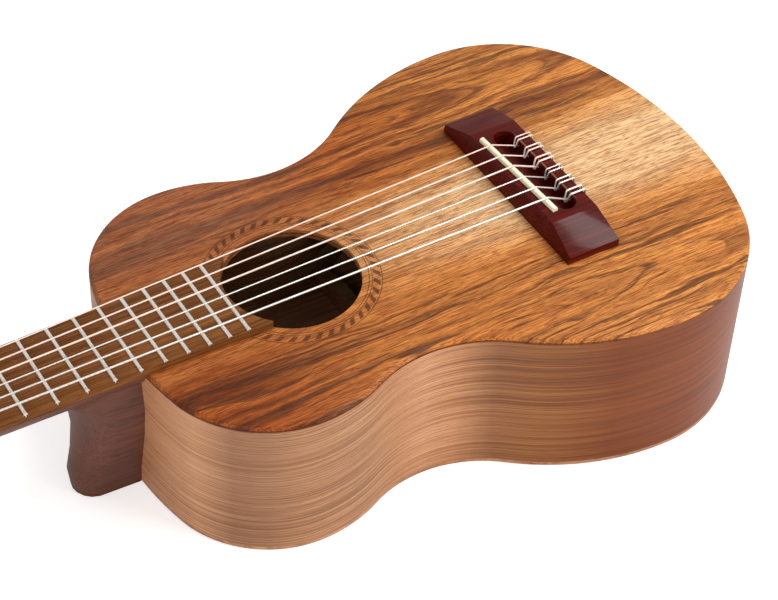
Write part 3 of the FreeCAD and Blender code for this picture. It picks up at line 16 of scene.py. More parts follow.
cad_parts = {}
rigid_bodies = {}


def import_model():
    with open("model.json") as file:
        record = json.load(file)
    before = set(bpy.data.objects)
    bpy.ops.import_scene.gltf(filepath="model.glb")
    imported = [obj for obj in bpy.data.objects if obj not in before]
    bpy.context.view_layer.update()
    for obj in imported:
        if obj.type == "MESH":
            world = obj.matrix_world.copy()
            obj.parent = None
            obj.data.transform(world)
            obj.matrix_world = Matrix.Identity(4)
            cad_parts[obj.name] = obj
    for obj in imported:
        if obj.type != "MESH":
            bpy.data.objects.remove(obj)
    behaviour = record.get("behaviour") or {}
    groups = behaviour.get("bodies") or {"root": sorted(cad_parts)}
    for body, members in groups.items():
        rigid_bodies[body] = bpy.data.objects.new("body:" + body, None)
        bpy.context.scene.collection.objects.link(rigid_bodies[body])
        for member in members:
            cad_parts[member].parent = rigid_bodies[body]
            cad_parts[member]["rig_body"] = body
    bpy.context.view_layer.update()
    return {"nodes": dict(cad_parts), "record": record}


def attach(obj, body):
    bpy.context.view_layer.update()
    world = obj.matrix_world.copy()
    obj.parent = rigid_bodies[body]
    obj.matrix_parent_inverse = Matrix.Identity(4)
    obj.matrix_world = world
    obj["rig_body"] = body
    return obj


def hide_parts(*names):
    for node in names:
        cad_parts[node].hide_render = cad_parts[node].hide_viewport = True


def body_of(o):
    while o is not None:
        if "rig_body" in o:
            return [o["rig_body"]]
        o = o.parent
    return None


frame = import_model()

LOG = logging.getLogger("guitalele")

Piece = bpy.types.Object
Socket = bpy.types.NodeSocket
Surface = tuple[object, object, object]
Tones = Sequence[tuple[float, str]]

# Sizes that several pieces share, in millimetres of the playing frame: x from nut to tail with
# zero under the saddle, y to the treble side, z out of the top.
MM = 0.001
DEPTH_NECK = 84.0
DEPTH_TAIL = 89.5
X_NECK = -215.9
X_TAIL = 103.6
HOLE_X = -126.6
SCALE_LENGTH = 433.0
NUT_THICKNESS = 4.0
BOARD_THICKNESS = 3.6
BOARD_JOIN_HEIGHT = 3.5
BOARD_SLOPE = 0.009
HEAD_TILT = math.radians(12.5)
VENEER_THICKNESS = 1.5
BRIDGE_TOP = 10.4
TIE_FRONT = 16.2

# The top's growth rings: how far the heart lies to each side, and how they open towards the tail.
HEART = 78.0
RING_START = 68.0
RING_RISE = 0.1

# How near points lie to be merged, and to count as lying at one height.
MERGE = 0.002
NEAR = 0.01

# Edges bent by more degrees than this stay sharp where a piece is shaded smooth.
TOOTHED = 20.0
FLAT = 25.0
SLOTTED = 35.0
TURNED = 40.0
ROUND = 60.0

# The playing frame lies tipped by the body's taper on its level back.
TAPER = math.atan2(DEPTH_TAIL - DEPTH_NECK, X_TAIL - X_NECK)
BACK_DROP = (DEPTH_NECK - X_NECK * math.tan(TAPER)) * math.cos(TAPER)
SETTLED = Matrix.Translation((0, 0, BACK_DROP * MM)) @ Matrix.Rotation(-TAPER, 4, "Y")
LEVEL = Matrix.Identity(4)

SLOTS = {entry["node"]: entry["material_slot"] for entry in frame["record"]["subparts"]}


def board_height(x: float) -> float:
    """Height of the fretboard's face at a place along the strings."""
    return BOARD_JOIN_HEIGHT + BOARD_SLOPE * (x + SCALE_LENGTH / 2)


# The head's frame: x to its tip, y to the bass side, z out of its face, from the back of the nut.
HEAD_X = -SCALE_LENGTH - NUT_THICKNESS
HEAD_PLACE = Vector((HEAD_X, 0.0, board_height(HEAD_X) - BOARD_THICKNESS + VENEER_THICKNESS))
HEAD_TURN = Matrix.Rotation(-HEAD_TILT, 4, "Y") @ Matrix.Rotation(math.pi, 4, "Z")
ON_HEAD = SETTLED @ Matrix.Translation(HEAD_PLACE * MM) @ HEAD_TURN


def linear(code: str) -> tuple[float, float, float, float]:
    """Turns a colour written as on a screen into the renderer's own scale.

    Args:
        code: The colour as six hexadecimal digits.

    Returns:
        Red, green, blue and full cover.
    """
    parts = [int(code[at:at + 2], 16) / 255 for at in (0, 2, 4)]
    parts = [part / 12.92 if part <= 0.04045 else ((part + 0.055) / 1.055) ** 2.4 for part in parts]
    return (*parts, 1.0)


# Node trees


class Graph:
    """A node tree being wired, of a material, of the sky or of a shared group."""

    def __init__(self, tree: bpy.types.NodeTree) -> None:
        """Starts on an empty tree."""
        self.tree = tree
        tree.nodes.clear()

    def node(self, kind: str, **settings: object) -> bpy.types.Node:
        """Adds a node.

        Args:
            kind: Class name of the node.
            settings: Properties to set on it.

        Returns:
            The node.
        """
        made = self.tree.nodes.new(kind)
        for name, value in settings.items():
            setattr(made, name, value)
        return made

    def feed(self, socket: Socket, source: object) -> None:
        """Gives an input its source.

        Args:
            socket: The input.
            source: An output to link, a colour code or a plain value.
        """
        if isinstance(source, Socket):
            self.tree.links.new(source, socket)
        else:
            socket.default_value = linear(source) if isinstance(source, str) else source

    def math(self, operation: str, *sources: object) -> Socket:
        """Adds a math node.

        Args:
            operation: What it works out.
            sources: Its inputs.

        Returns:
            The result.
        """
        made = self.node("ShaderNodeMath", operation=operation)
        for socket, source in zip(made.inputs, sources):
            self.feed(socket, source)
        return made.outputs[0]

    def plus(self, first: object, second: object) -> Socket:
        """The sum of two values."""
        return self.math("ADD", first, second)

    def minus(self, first: object, second: object) -> Socket:
        """What is left of the first value without the second."""
        return self.math("SUBTRACT", first, second)

    def times(self, first: object, second: object) -> Socket:
        """The product of two values."""
        return self.math("MULTIPLY", first, second)

    def over(self, first: object, second: object) -> Socket:
        """The first value divided by the second."""
        return self.math("DIVIDE", first, second)

    def larger(self, first: object, second: object) -> Socket:
        """The larger of two values."""
        return self.math("MAXIMUM", first, second)

    def sway(self, noise: Socket, reach: object) -> Socket:
        """A noise centred on zero and scaled."""
        return self.times(self.minus(noise, 0.5), reach)

    def root_of_squares(self, first: Socket, second: Socket) -> Socket:
        """Length of the diagonal of two values."""
        return self.math("SQRT", self.plus(self.times(first, first), self.times(second, second)))

    def mix(self, share: object, low: object, high: object, blend: str = "MIX") -> Socket:
        """Lays one colour on another.

        Args:
            share: How much of the upper colour shows.
            low: The lower colour.
            high: The upper colour.
            blend: How the upper colour is laid on.

        Returns:
            The colour.
        """
        made = self.node("ShaderNodeMix", data_type="RGBA", blend_type=blend, clamp_factor=True)
        for at, source in ((0, share), (6, low), (7, high)):
            self.feed(made.inputs[at], source)
        return made.outputs[2]

    def tint(self, colour: object, tone: str, mask: Socket, depth: float, blend: str = "MIX") -> Socket:
        """A colour with a tone laid on it where a mask shows, to a depth."""
        return self.mix(self.times(mask, depth), colour, tone, blend)

    def ramp(self, share: Socket, tones: Tones) -> Socket:
        """Adds a colour ramp.

        Args:
            share: What drives it.
            tones: Places along it, each with a colour code.

        Returns:
            The colour.
        """
        made = self.node("ShaderNodeValToRGB")
        elements = made.color_ramp.elements
        elements.remove(elements[-1])
        for index, (place, code) in enumerate(tones):
            element = elements.new(place) if index else elements[0]
            element.position, element.color = place, linear(code)
        self.feed(made.inputs[0], share)
        return made.outputs[0]

    def stretch(self, low: object, high: object, source: object) -> Socket:
        """Maps a span smoothly to 0 to 1.

        Args:
            low: Where the result is 0.
            high: Where the result is 1.
            source: What is mapped.

        Returns:
            The result.
        """
        made = self.node("ShaderNodeMapRange", interpolation_type="SMOOTHSTEP")
        for at, value in enumerate((source, low, high)):
            self.feed(made.inputs[at], value)
        return made.outputs[0]

    def band(self, source: object, centre: float, half: float) -> Socket:
        """One within half of the centre, falling softly to nothing outside."""
        away = self.math("ABSOLUTE", self.minus(source, centre))
        return self.minus(1.0, self.stretch(half * 0.8, half * 1.2, away))

    def noise(self, vector: Socket, detail: float, rough: float = 0.5) -> Socket:
        """Adds a noise with cells of about one unit.

        Args:
            vector: Where it is read.
            detail: How many finer layers it has.
            rough: How strong these are.

        Returns:
            Its value.
        """
        made = self.node("ShaderNodeTexNoise")
        for name, source in (("Vector", vector), ("Scale", 1.0), ("Detail", detail), ("Roughness", rough)):
            self.feed(made.inputs[name], source)
        return made.outputs[0]

    def vector(self, x: object, y: object, z: object = 0.0) -> Socket:
        """Joins three values.

        Args:
            x: The first value.
            y: The second value.
            z: The third value.

        Returns:
            The vector.
        """
        made = self.node("ShaderNodeCombineXYZ")
        for socket, source in zip(made.inputs, (x, y, z)):
            self.feed(socket, source)
        return made.outputs[0]

    def parts(self, vector: Socket) -> tuple[Socket, ...]:
        """Splits a vector.

        Args:
            vector: The vector.

        Returns:
            Its three values.
        """
        made = self.node("ShaderNodeSeparateXYZ")
        self.feed(made.inputs[0], vector)
        return tuple(made.outputs)

    def cell(self, place: Socket, length: object, width: object) -> Socket:
        """A place counted in cells of a length along the strings and a width across and up."""
        x, y, z = self.parts(place)
        return self.vector(self.over(x, length), self.over(y, width), self.over(z, width))

    def place(self) -> Socket:
        """Where a point lies in the playing frame.

        Returns:
            Its object coordinates in millimetres, along and across the strings.
        """
        back = self.node("ShaderNodeMapping", vector_type="TEXTURE")
        self.feed(back.inputs["Vector"], self.node("ShaderNodeTexCoord").outputs["Object"])
        back.inputs["Location"].default_value = (0, 0, BACK_DROP * MM)
        back.inputs["Rotation"].default_value = (0, -TAPER, 0)
        back.inputs["Scale"].default_value = (MM, MM, MM)
        return back.outputs[0]

    def group(self, name: str, **sources: object) -> dict[str, Socket]:
        """Places a shared group.

        Args:
            name: Which group.
            sources: Its inputs.

        Returns:
            Its outputs by name.
        """
        made = self.node("ShaderNodeGroup", node_tree=bpy.data.node_groups[name])
        for key, source in sources.items():
            self.feed(made.inputs[key], source)
        return {socket.name: socket for socket in made.outputs}

    def fibres(self, place: Socket, length: float, width: float, drift: float) -> Socket:
        """Lines along the grain, of a length and width, drifting sideways."""
        return self.group("fibres", Place=place, Length=length, Width=width, Drift=drift)["Lines"]

    def pores(self, place: Socket, length: float, width: float, cover: float) -> Socket:
        """Pores along the grain, of a length and width, covering a share of it."""
        return self.group("pores", Place=place, Length=length, Width=width, Cover=cover)["Mask"]

    def blotches(self, place: Socket, length: float, width: float) -> Socket:
        """Soft light and dark places of a length and width."""
        return self.group("blotches", Place=place, Length=length, Width=width)["Mask"]


class SharedEffects:
    """The effects that several finishes use, each a node group built once."""

    def build(self) -> None:
        """Makes all groups."""
        self._fibres()
        self._pores()
        self._blotches()
        self._bands()

    def _start(self, name: str, outputs: Sequence[str],
               **inputs: float) -> tuple[Graph, dict[str, Socket], dict[str, Socket]]:
        """Starts a group that is fed a place.

        Args:
            name: The group's name.
            outputs: Names of the values that it puts out.
            inputs: Each other input's default.

        Returns:
            The graph, its input values by name and its output sockets by name.
        """
        tree = bpy.data.node_groups.new(name, "ShaderNodeTree")
        tree.interface.new_socket("Place", in_out="INPUT", socket_type="NodeSocketVector")
        for label, value in inputs.items():
            socket = tree.interface.new_socket(label, in_out="INPUT", socket_type="NodeSocketFloat")
            socket.default_value = value
        for label in outputs:
            tree.interface.new_socket(label, in_out="OUTPUT", socket_type="NodeSocketFloat")
        graph = Graph(tree)
        start, end = graph.node("NodeGroupInput"), graph.node("NodeGroupOutput")
        values = {socket.name: socket for socket in start.outputs if socket.name}
        results = {socket.name: socket for socket in end.inputs if socket.name}
        return graph, values, results

    def _fibres(self) -> None:
        """Fine lengthwise lines that drift a little."""
        graph, values, results = self._start("fibres", ("Lines",), Length=60.0, Width=1.0, Drift=2.0)
        x, y, z = graph.parts(values["Place"])
        wander = graph.node("ShaderNodeVectorMath", operation="MULTIPLY")
        graph.feed(wander.inputs[0], values["Place"])
        wander.inputs[1].default_value = (0.012, 0.03, 0.03)
        shift = graph.sway(graph.noise(wander.outputs[0], 2.0), values["Drift"])
        spot = graph.vector(graph.over(x, values["Length"]),
                            graph.over(graph.plus(y, shift), values["Width"]),
                            graph.over(graph.plus(z, shift), values["Width"]))
        graph.feed(results["Lines"], graph.noise(spot, 3.0, 0.6))

    def _pores(self) -> None:
        """Short dark pores along the grain, more of them with more cover."""
        graph, values, results = self._start("pores", ("Mask",), Length=5.0, Width=0.4, Cover=0.4)
        dots = graph.noise(graph.cell(values["Place"], values["Length"], values["Width"]), 1.0, 0.4)
        low = graph.minus(0.84, graph.times(values["Cover"], 0.45))
        graph.feed(results["Mask"], graph.stretch(low, graph.plus(low, 0.09), dots))

    def _blotches(self) -> None:
        """Wide soft light and dark places."""
        graph, values, results = self._start("blotches", ("Mask",), Length=80.0, Width=20.0)
        spots = graph.noise(graph.cell(values["Place"], values["Length"], values["Width"]), 2.0)
        graph.feed(results["Mask"], graph.stretch(0.3, 0.7, spots))

    def _bands(self) -> None:
        """Growth rings of a board cut beside the heart, nested towards the tail and matched both sides."""
        graph, values, results = self._start("bands", ("Ring", "Outside"))
        x, y, _ = graph.parts(values["Place"])
        half = graph.math("ABSOLUTE", y)
        matched = graph.noise(graph.vector(graph.times(x, 0.011), graph.times(half, 0.035)), 3.0)
        own = graph.noise(graph.vector(graph.times(x, 0.02), graph.times(y, 0.05)), 2.0)
        shift = graph.plus(graph.sway(matched, 20.0), graph.sway(own, 7.0))
        beside = graph.plus(graph.minus(half, HEART), shift)
        rise = graph.larger(graph.times(graph.plus(x, RING_START), RING_RISE), 0.0)
        graph.feed(results["Ring"], graph.root_of_squares(beside, rise))
        graph.feed(results["Outside"], graph.stretch(-4.0, 8.0, beside))


# Finishes


@dataclass(frozen=True)
class Finish:
    """What every finish has: a name, its gloss and how far its grain stands out."""

    name: str
    rough: float = 0.45
    specular: float = 0.5
    coat: float = 0.0
    coat_rough: float = 0.15
    metal: float = 0.0
    relief: float = 0.1

    def colours(self, graph: Graph) -> Surface:
        """Base colour, roughness and height of the surface, as nodes in the graph."""
        raise NotImplementedError

    def material(self) -> bpy.types.Material:
        """The finish as a material, built on first use.

        Returns:
            The material.
        """
        label = self.name + "_finish"
        found = bpy.data.materials.get(label)
        if found:
            return found
        made = bpy.data.materials.new(label)
        made.use_nodes = True
        graph = Graph(made.node_tree)
        end = graph.node("ShaderNodeOutputMaterial")
        shader = graph.node("ShaderNodeBsdfPrincipled")
        shader.inputs["Metallic"].default_value = self.metal
        shader.inputs["Specular IOR Level"].default_value = self.specular
        shader.inputs["Coat Weight"].default_value = self.coat
        shader.inputs["Coat Roughness"].default_value = self.coat_rough
        colour, rough, height = self.colours(graph)
        bump = graph.node("ShaderNodeBump")
        bump.inputs["Strength"].default_value = self.relief
        bump.inputs["Distance"].default_value = 0.1 * MM
        for socket, source in (
                (shader.inputs["Base Color"], colour), (shader.inputs["Roughness"], rough),
                (bump.inputs["Height"], height), (shader.inputs["Normal"], bump.outputs[0]),
                (end.inputs["Surface"], shader.outputs[0])):
            graph.feed(socket, source)
        return made


# Tones of the top's growth rings, from the heart outwards, inside and outside the heart.
INSIDE_RINGS = (
    (0.00, "d68a42"), (0.05, "c97a35"), (0.085, "7a431e"), (0.11, "c47c38"), (0.14, "dc9145"),
    (0.17, "8f5226"), (0.19, "d88d42"), (0.22, "dc9145"), (0.25, "b16a2e"), (0.29, "74411e"),
    (0.33, "a5622c"), (0.38, "d48c45"), (0.44, "b97434"), (0.48, "e19d57"), (0.56, "eaad68"),
    (0.61, "cf8e4b"), (0.68, "edb672"), (0.80, "f0bc7a"), (1.00, "eab272"))
OUTSIDE_RINGS = (
    (0.00, "d68a42"), (0.06, "c37831"), (0.10, "7e461d"), (0.13, "cf863b"), (0.17, "9a5927"),
    (0.20, "d98f44"), (0.24, "df974a"), (0.30, "b36e31"), (0.36, "d78f47"), (1.00, "ca823c"))

# How the top pales from the neck to the tail.
TOP_SHADES = ((0.0, "c8a48a"), (0.45, "e2c8ac"), (1.0, "ffffff"))

# Painted sheen and shade on the sides: soft bands of reflected light and shade across the grain, then a
# darker, warmer tail, by place.
SIDE_PAINTED_SHEEN = (
    (-215.9, "f4ece8"), (-207.0, "ffffff"), (-196.0, "c8c3c4"), (-184.0, "cac6c6"), (-168.0, "dcd8d3"),
    (-130.0, "e0ded6"), (-112.0, "f2eee6"), (-95.0, "ffffff"), (-80.0, "f0e8e0"), (-62.0, "b9a998"),
    (-45.0, "b79d78"), (-10.0, "9c6e38"), (40.0, "a06c30"), (103.6, "a66c28"))


@dataclass(frozen=True)
class TopWood(Finish):
    """The figured top: honey in the middle under a painted highlight, dark nested streaks in both halves.
    """

    ring_span: float = 90.0
    broad_sway: float = 7.0
    fine_sway: float = 4.0
    streak_rings: tuple[tuple[float, float], ...] = ((27.0, 9.0), (8.0, 6.0))
    streak_everywhere: float = 0.25
    rim_drop: float = 1.9

    def _zone(self, graph: Graph, colour: Socket, tone: str, depth: float,
              *spans: tuple[Socket, float, float]) -> Socket:
        """Tints a zone of the top.

        Args:
            graph: Where the nodes go.
            colour: The colour so far.
            tone: What is laid on it.
            depth: How strongly.
            spans: Two measures, each with where the tone starts and where it is full.

        Returns:
            The colour.
        """
        masks = [graph.stretch(start, full, source) for source, start, full in spans]
        return graph.tint(colour, tone, graph.times(*masks), depth)

    def colours(self, graph: Graph) -> Surface:
        """Rings and tones by place with a painted highlight in the middle, under fibres, pores and a
        darker rim.

        Args:
            graph: Where the nodes go.

        Returns:
            Base colour, roughness and height.
        """
        place = graph.place()
        bands = graph.group("bands", Place=place)
        ring = bands["Ring"]
        along, y, z = graph.parts(place)
        flow = graph.vector(along, ring)
        thread, fine = graph.fibres(place, 15.0, 0.5, 4.0), graph.fibres(place, 70.0, 1.2, 8.0)
        broad, streak = graph.fibres(flow, 150.0, 6.0, 6.0), graph.fibres(flow, 120.0, 2.6, 8.0)
        spread = graph.plus(graph.plus(ring, graph.sway(broad, self.broad_sway)),
                            graph.sway(fine, self.fine_sway))
        share = graph.over(spread, self.ring_span)
        colour = graph.mix(bands["Outside"], graph.ramp(share, INSIDE_RINGS),
                           graph.ramp(share, OUTSIDE_RINGS))
        shade = graph.ramp(graph.stretch(-190.0, 60.0, along), TOP_SHADES)
        colour = graph.mix(1.0, colour, shade, "MULTIPLY")
        colour = self._zone(graph, colour, "dd9146", 0.5, (y, 25.0, -45.0), (along, -190.0, -90.0))
        dark = graph.larger(*(graph.band(ring, middle, half) for middle, half in self.streak_rings))
        dark = graph.plus(graph.times(dark, 0.55), self.streak_everywhere)
        colour = graph.mix(graph.times(dark, graph.stretch(0.5, 0.6, streak)), colour, "5c3216")
        colour = self._zone(graph, colour, "b17c5a", 0.36, (y, 5.0, 55.0), (along, -50.0, -150.0))
        # Painted highlight: a pale cream sheen across the middle, between the soundhole and the bridge.
        colour = self._zone(graph, colour, "f3cd9b", 0.72, (ring, 42.0, 68.0), (along, -140.0, 10.0))
        for lines, low, high, depth in ((fine, 0.4, 0.66, 0.35), (thread, 0.46, 0.6, 0.65)):
            colour = graph.tint(colour, "9a6238", graph.stretch(low, high, lines), depth, "MULTIPLY")
        pores = graph.pores(place, 5.0, 0.5, 0.6)
        colour = graph.tint(colour, "4d2811", pores, 0.5)
        colour = graph.tint(colour, "4e2210", graph.stretch(-self.rim_drop * 0.8, -self.rim_drop, z), 0.75)
        return colour, graph.plus(self.rough, graph.times(pores, 0.2)), graph.minus(1.0, pores)


@dataclass(frozen=True)
class RingInlay(TopWood):
    """Wood of the top round the soundhole, with fine dark lines and leaning dark blocks let in."""

    blocks: int = 42
    lines: tuple[float, ...] = (37.0, 38.35, 43.1)
    line_half: float = 0.2
    block_low: float = 38.9
    block_high: float = 42.4
    block_share: float = 0.46
    lean: float = 0.45
    tone: str = "40200f"
    depth: float = 0.78

    def colours(self, graph: Graph) -> Surface:
        """The top's own surface under a pattern worked out from radius and angle.

        Args:
            graph: Where the nodes go.

        Returns:
            Base colour, roughness and height.
        """
        colour, rough, height = super().colours(graph)
        x, y, _ = graph.parts(graph.place())
        away = graph.minus(x, HOLE_X)
        radius = graph.root_of_squares(away, y)
        turns = graph.over(graph.math("ARCTAN2", y, away), 2 * math.pi)
        width = self.block_high - self.block_low
        shift = graph.over(graph.minus(radius, self.block_low), width / self.lean)
        count = graph.math("FRACT", graph.plus(graph.times(turns, self.blocks), shift))
        dark = graph.times(graph.band(count, 0.5, self.block_share / 2),
                           graph.band(radius, (self.block_low + self.block_high) / 2, width / 2))
        for line in self.lines:
            dark = graph.larger(dark, graph.band(radius, line, self.line_half))
        return graph.tint(colour, self.tone, dark, self.depth), rough, height


@dataclass(frozen=True)
class PlainWood(Finish):
    """Straight-grained wood in three tones."""

    light: str = "c9976f"
    middle: str = "b57f58"
    dark: str = "8a5a3a"
    length: float = 120.0
    width: float = 1.2
    drift: float = 2.0
    fine_share: float = 0.7
    pore_length: float = 5.0
    pore_width: float = 0.4
    pore_cover: float = 0.35
    pore_tone: str = "5c3820"
    pore_share: float = 0.35
    upright: bool = False
    bend_share: float = 0.7
    blotch: float = 0.35
    blotch_size: tuple[float, float] = (150.0, 24.0)
    seam: float = 0.0
    painted_sheen: Tones = ()
    painted_sheen_sway: float = 6.0

    def colours(self, graph: Graph) -> Surface:
        """Lines, blotches and pores along the grain, painted sheen and shade by place and a seam, where
        there are any.

        Args:
            graph: Where the nodes go.

        Returns:
            Base colour, roughness and height.
        """
        place = graph.place()
        x, y, z = graph.parts(place)
        if self.upright:
            place = graph.vector(graph.plus(x, graph.times(y, self.bend_share)), z)
        fine = graph.fibres(place, self.length, self.width, self.drift)
        wide = graph.fibres(place, self.length * 2, self.width * 4, self.drift * 2)
        share = graph.plus(graph.times(fine, self.fine_share), graph.times(wide, 1.0 - self.fine_share))
        colour = graph.ramp(graph.stretch(0.3, 0.7, share),
                            ((0.0, self.light), (0.5, self.middle), (1.0, self.dark)))
        colour = graph.tint(colour, self.dark, graph.blotches(place, *self.blotch_size), self.blotch)
        # Painted sheen and shade: soft bands of reflected light across the grain, darker towards the tail.
        if self.painted_sheen:
            span = X_TAIL - X_NECK
            share = graph.over(graph.minus(graph.plus(x, graph.sway(wide, self.painted_sheen_sway)), X_NECK), span)
            tones = [((at - X_NECK) / span, tone) for at, tone in self.painted_sheen]
            colour = graph.mix(1.0, colour, graph.ramp(share, tones), "MULTIPLY")
        pores = graph.pores(place, self.pore_length, self.pore_width, self.pore_cover)
        colour = graph.tint(colour, self.pore_tone, pores, self.pore_share)
        if self.seam:
            colour = graph.mix(graph.band(y, 0.0, self.seam), colour, self.pore_tone)
        return colour, graph.plus(self.rough, graph.times(pores, 0.15)), graph.minus(1.0, pores)


@dataclass(frozen=True)
class BridgeWood(PlainWood):
    """Dark red wood, with a painted highlight along the front edge of the tie block."""

    glint_tone: str = "b98368"
    glint_depth: float = 0.4
    glint_half: float = 25.0

    def colours(self, graph: Graph) -> Surface:
        """The plain wood's surface, with a painted highlight along the tie block's front edge over it.

        Args:
            graph: Where the nodes go.

        Returns:
            Base colour, roughness and height.
        """
        colour, rough, height = super().colours(graph)
        x, y, z = graph.parts(graph.place())
        # Painted highlight: a pale glint along the tie block's front top edge, kept near the strings.
        edge = graph.times(graph.band(x, TIE_FRONT + 0.3, 0.35), graph.band(z, BRIDGE_TOP, 0.5))
        edge = graph.times(edge, graph.band(y, 0.0, self.glint_half))
        return graph.tint(colour, self.glint_tone, edge, self.glint_depth), rough, height


@dataclass(frozen=True)
class Clouded(Finish):
    """A smooth surface with slight clouds, for bone, nylon, plastic and metal."""

    light: str = "f4efd8"
    dark: str = "e6dcba"
    grain: float = 2.0
    sweep: float = 0.1

    def colours(self, graph: Graph) -> Surface:
        """Clouds in the colour and a little in the gloss.

        Args:
            graph: Where the nodes go.

        Returns:
            Base colour, roughness and height.
        """
        cloud = graph.blotches(graph.place(), self.grain * 3, self.grain)
        colour = graph.mix(cloud, self.light, self.dark)
        return colour, graph.plus(self.rough, graph.times(cloud, self.sweep)), cloud


@dataclass(frozen=True)
class Winding(Clouded):
    """A core wound with fine wire, whose turns follow the run of the string."""

    pitch: float = 0.24
    groove_shade: str = "8d8578"
    groove_shade_depth: float = 0.15

    def colours(self, graph: Graph) -> Surface:
        """Clouded metal, with painted shade in the grooves between the turns.

        Args:
            graph: Where the nodes go.

        Returns:
            Base colour, roughness and height.
        """
        colour, rough, _ = super().colours(graph)
        run = graph.node("ShaderNodeAttribute", attribute_name="run").outputs["Fac"]
        groove = graph.stretch(0.2, 1.0, graph.math("SINE", graph.times(run, 2 * math.pi / self.pitch)))
        # Painted shade in the grooves between the turns.
        colour = graph.tint(colour, self.groove_shade, groove, self.groove_shade_depth)
        return colour, rough, graph.minus(1.0, groove)


class Look(Enum):
    """The finish of each kind of surface."""

    TOP = TopWood("figured_top", rough=0.4, specular=0.12, coat=0.06, coat_rough=0.25, relief=0.25)
    RING = RingInlay("ring_inlay", rough=0.42, specular=0.12, coat=0.06, coat_rough=0.25, relief=0.25)
    SIDES = PlainWood("side_wood", rough=0.42, specular=0.2, coat=0.1, coat_rough=0.25,
                      light="e8b48a", middle="c78f66", dark="8b5936", width=0.6, length=80.0, drift=0.7,
                      upright=True, blotch=0.25, pore_cover=0.5, pore_share=0.4, pore_tone="6b3d25",
                      painted_sheen=SIDE_PAINTED_SHEEN)
    BACK = PlainWood("back_wood", rough=0.42, specular=0.3, coat=0.1, coat_rough=0.25,
                     light="cf9e78", middle="b9835c", dark="8f5c3c", width=2.2, seam=0.3)
    INNER = PlainWood("inner_wood", rough=0.7, specular=0.2,
                      light="98623a", middle="824f2c", dark="613819")
    BRACE = PlainWood("brace_wood", rough=0.7, specular=0.2,
                      light="bb9468", middle="a88056", dark="89633e", width=0.9)
    NECK = PlainWood("neck_wood", rough=0.4, specular=0.3, coat=0.1, coat_rough=0.3,
                     light="744233", middle="643829", dark="4e2a1c", width=1.0, pore_tone="3c2218")
    HEAD = PlainWood("head_wood", rough=0.4, specular=0.25, coat=0.1, coat_rough=0.25,
                     light="b5773f", middle="98602f", dark="6d3e1e", width=1.6)
    BOARD = PlainWood("board_wood", rough=0.5, specular=0.1,
                      light="8f5b2d", middle="73431d", dark="4c290d", width=0.8,
                      pore_length=6.0, pore_cover=0.5, pore_tone="2c170b", pore_share=0.55)
    BRIDGE = BridgeWood("bridge_wood", rough=0.35, specular=0.05, coat=0.12, coat_rough=0.12,
                        light="6c1a0e", middle="500f08", dark="370904", width=1.0,
                        pore_tone="2a0805", pore_share=0.3)
    BONE = Clouded("bone", rough=0.3, coat=0.2, light="f6f0d2", dark="eee4bf")
    NICKEL = Clouded("nickel", rough=0.22, metal=1.0, relief=0.008,
                     light="eee9df", dark="e6e0d6", grain=6.0)
    STEEL = Clouded("steel", rough=0.3, metal=1.0, relief=0.008,
                    light="c6c6c5", dark="bcbcbb", grain=4.0)
    BRASS = Clouded("gear_brass", rough=0.32, metal=1.0, relief=0.03,
                    light="d6ae66", dark="c8a056", grain=3.0)
    PEARL = Clouded("pearl_button", rough=0.18, coat=0.5, coat_rough=0.05,
                    light="f2efe8", dark="d9d5cc", grain=3.5)
    NYLON = Clouded("clear_nylon", rough=0.25, light="f3dfd3", dark="e6cbb9", grain=1.2)
    WOUND = Winding("wound_string", rough=0.34, metal=0.7, relief=0.06,
                    light="e9e4dc", dark="c9c2b8", grain=0.4)


SLOT_LOOKS = {
    "top_wood": Look.TOP, "side_wood": Look.SIDES, "inner_wood": Look.INNER, "brace_wood": Look.BRACE,
    "neck_wood": Look.NECK, "head_wood": Look.HEAD, "board_wood": Look.BOARD, "bridge_wood": Look.BRIDGE,
    "inlay": Look.RING, "bone": Look.BONE, "nickel": Look.NICKEL, "steel": Look.STEEL,
    "gear_brass": Look.BRASS, "knob_white": Look.PEARL, "nylon": Look.NYLON, "wound": Look.WOUND,
}


# Modelling


def deselect() -> None:
    """Lets go of every object."""
    bpy.ops.object.select_all(action="DESELECT")


def hold(piece: Piece) -> None:
    """Makes one piece the only selected and active object.

    Args:
        piece: The piece.
    """
    deselect()
    piece.select_set(True)
    bpy.context.view_layer.objects.active = piece


@contextmanager
def editing(piece: Piece, chosen: bool = False) -> Iterator[None]:
    """Opens a piece in edit mode, and closes it again.

    Args:
        piece: The piece.
        chosen: Whether all of it is selected, or nothing.
    """
    hold(piece)
    bpy.ops.object.mode_set(mode="EDIT")
    bpy.ops.mesh.select_mode(type="VERT")
    bpy.ops.mesh.select_all(action="SELECT" if chosen else "DESELECT")
    yield
    bpy.ops.object.mode_set(mode="OBJECT")


def pick(piece: Piece, kind: str, test: Callable[[Vector], bool]) -> None:
    """Selects only the vertices, edges or faces whose middle passes a test, from edit mode.

    Args:
        piece: The piece in edit mode.
        kind: VERT, EDGE or FACE.
        test: Takes a middle point in millimetres.
    """
    bpy.ops.mesh.select_all(action="DESELECT")
    bpy.ops.mesh.select_mode(type=kind)
    bpy.ops.object.mode_set(mode="OBJECT")
    mesh = piece.data
    spots = [vertex.co / MM for vertex in mesh.vertices]
    for item in {"VERT": mesh.vertices, "EDGE": mesh.edges, "FACE": mesh.polygons}[kind]:
        corners = [item.index] if kind == "VERT" else list(item.vertices)
        item.select = test(sum((spots[at] for at in corners), Vector()) / len(corners))
    bpy.ops.object.mode_set(mode="EDIT")


def tidy_faces() -> None:
    """Merges doubles and turns all faces outwards, from edit mode."""
    bpy.ops.mesh.select_all(action="SELECT")
    bpy.ops.mesh.remove_doubles(threshold=MERGE * MM)
    bpy.ops.mesh.normals_make_consistent(inside=False)


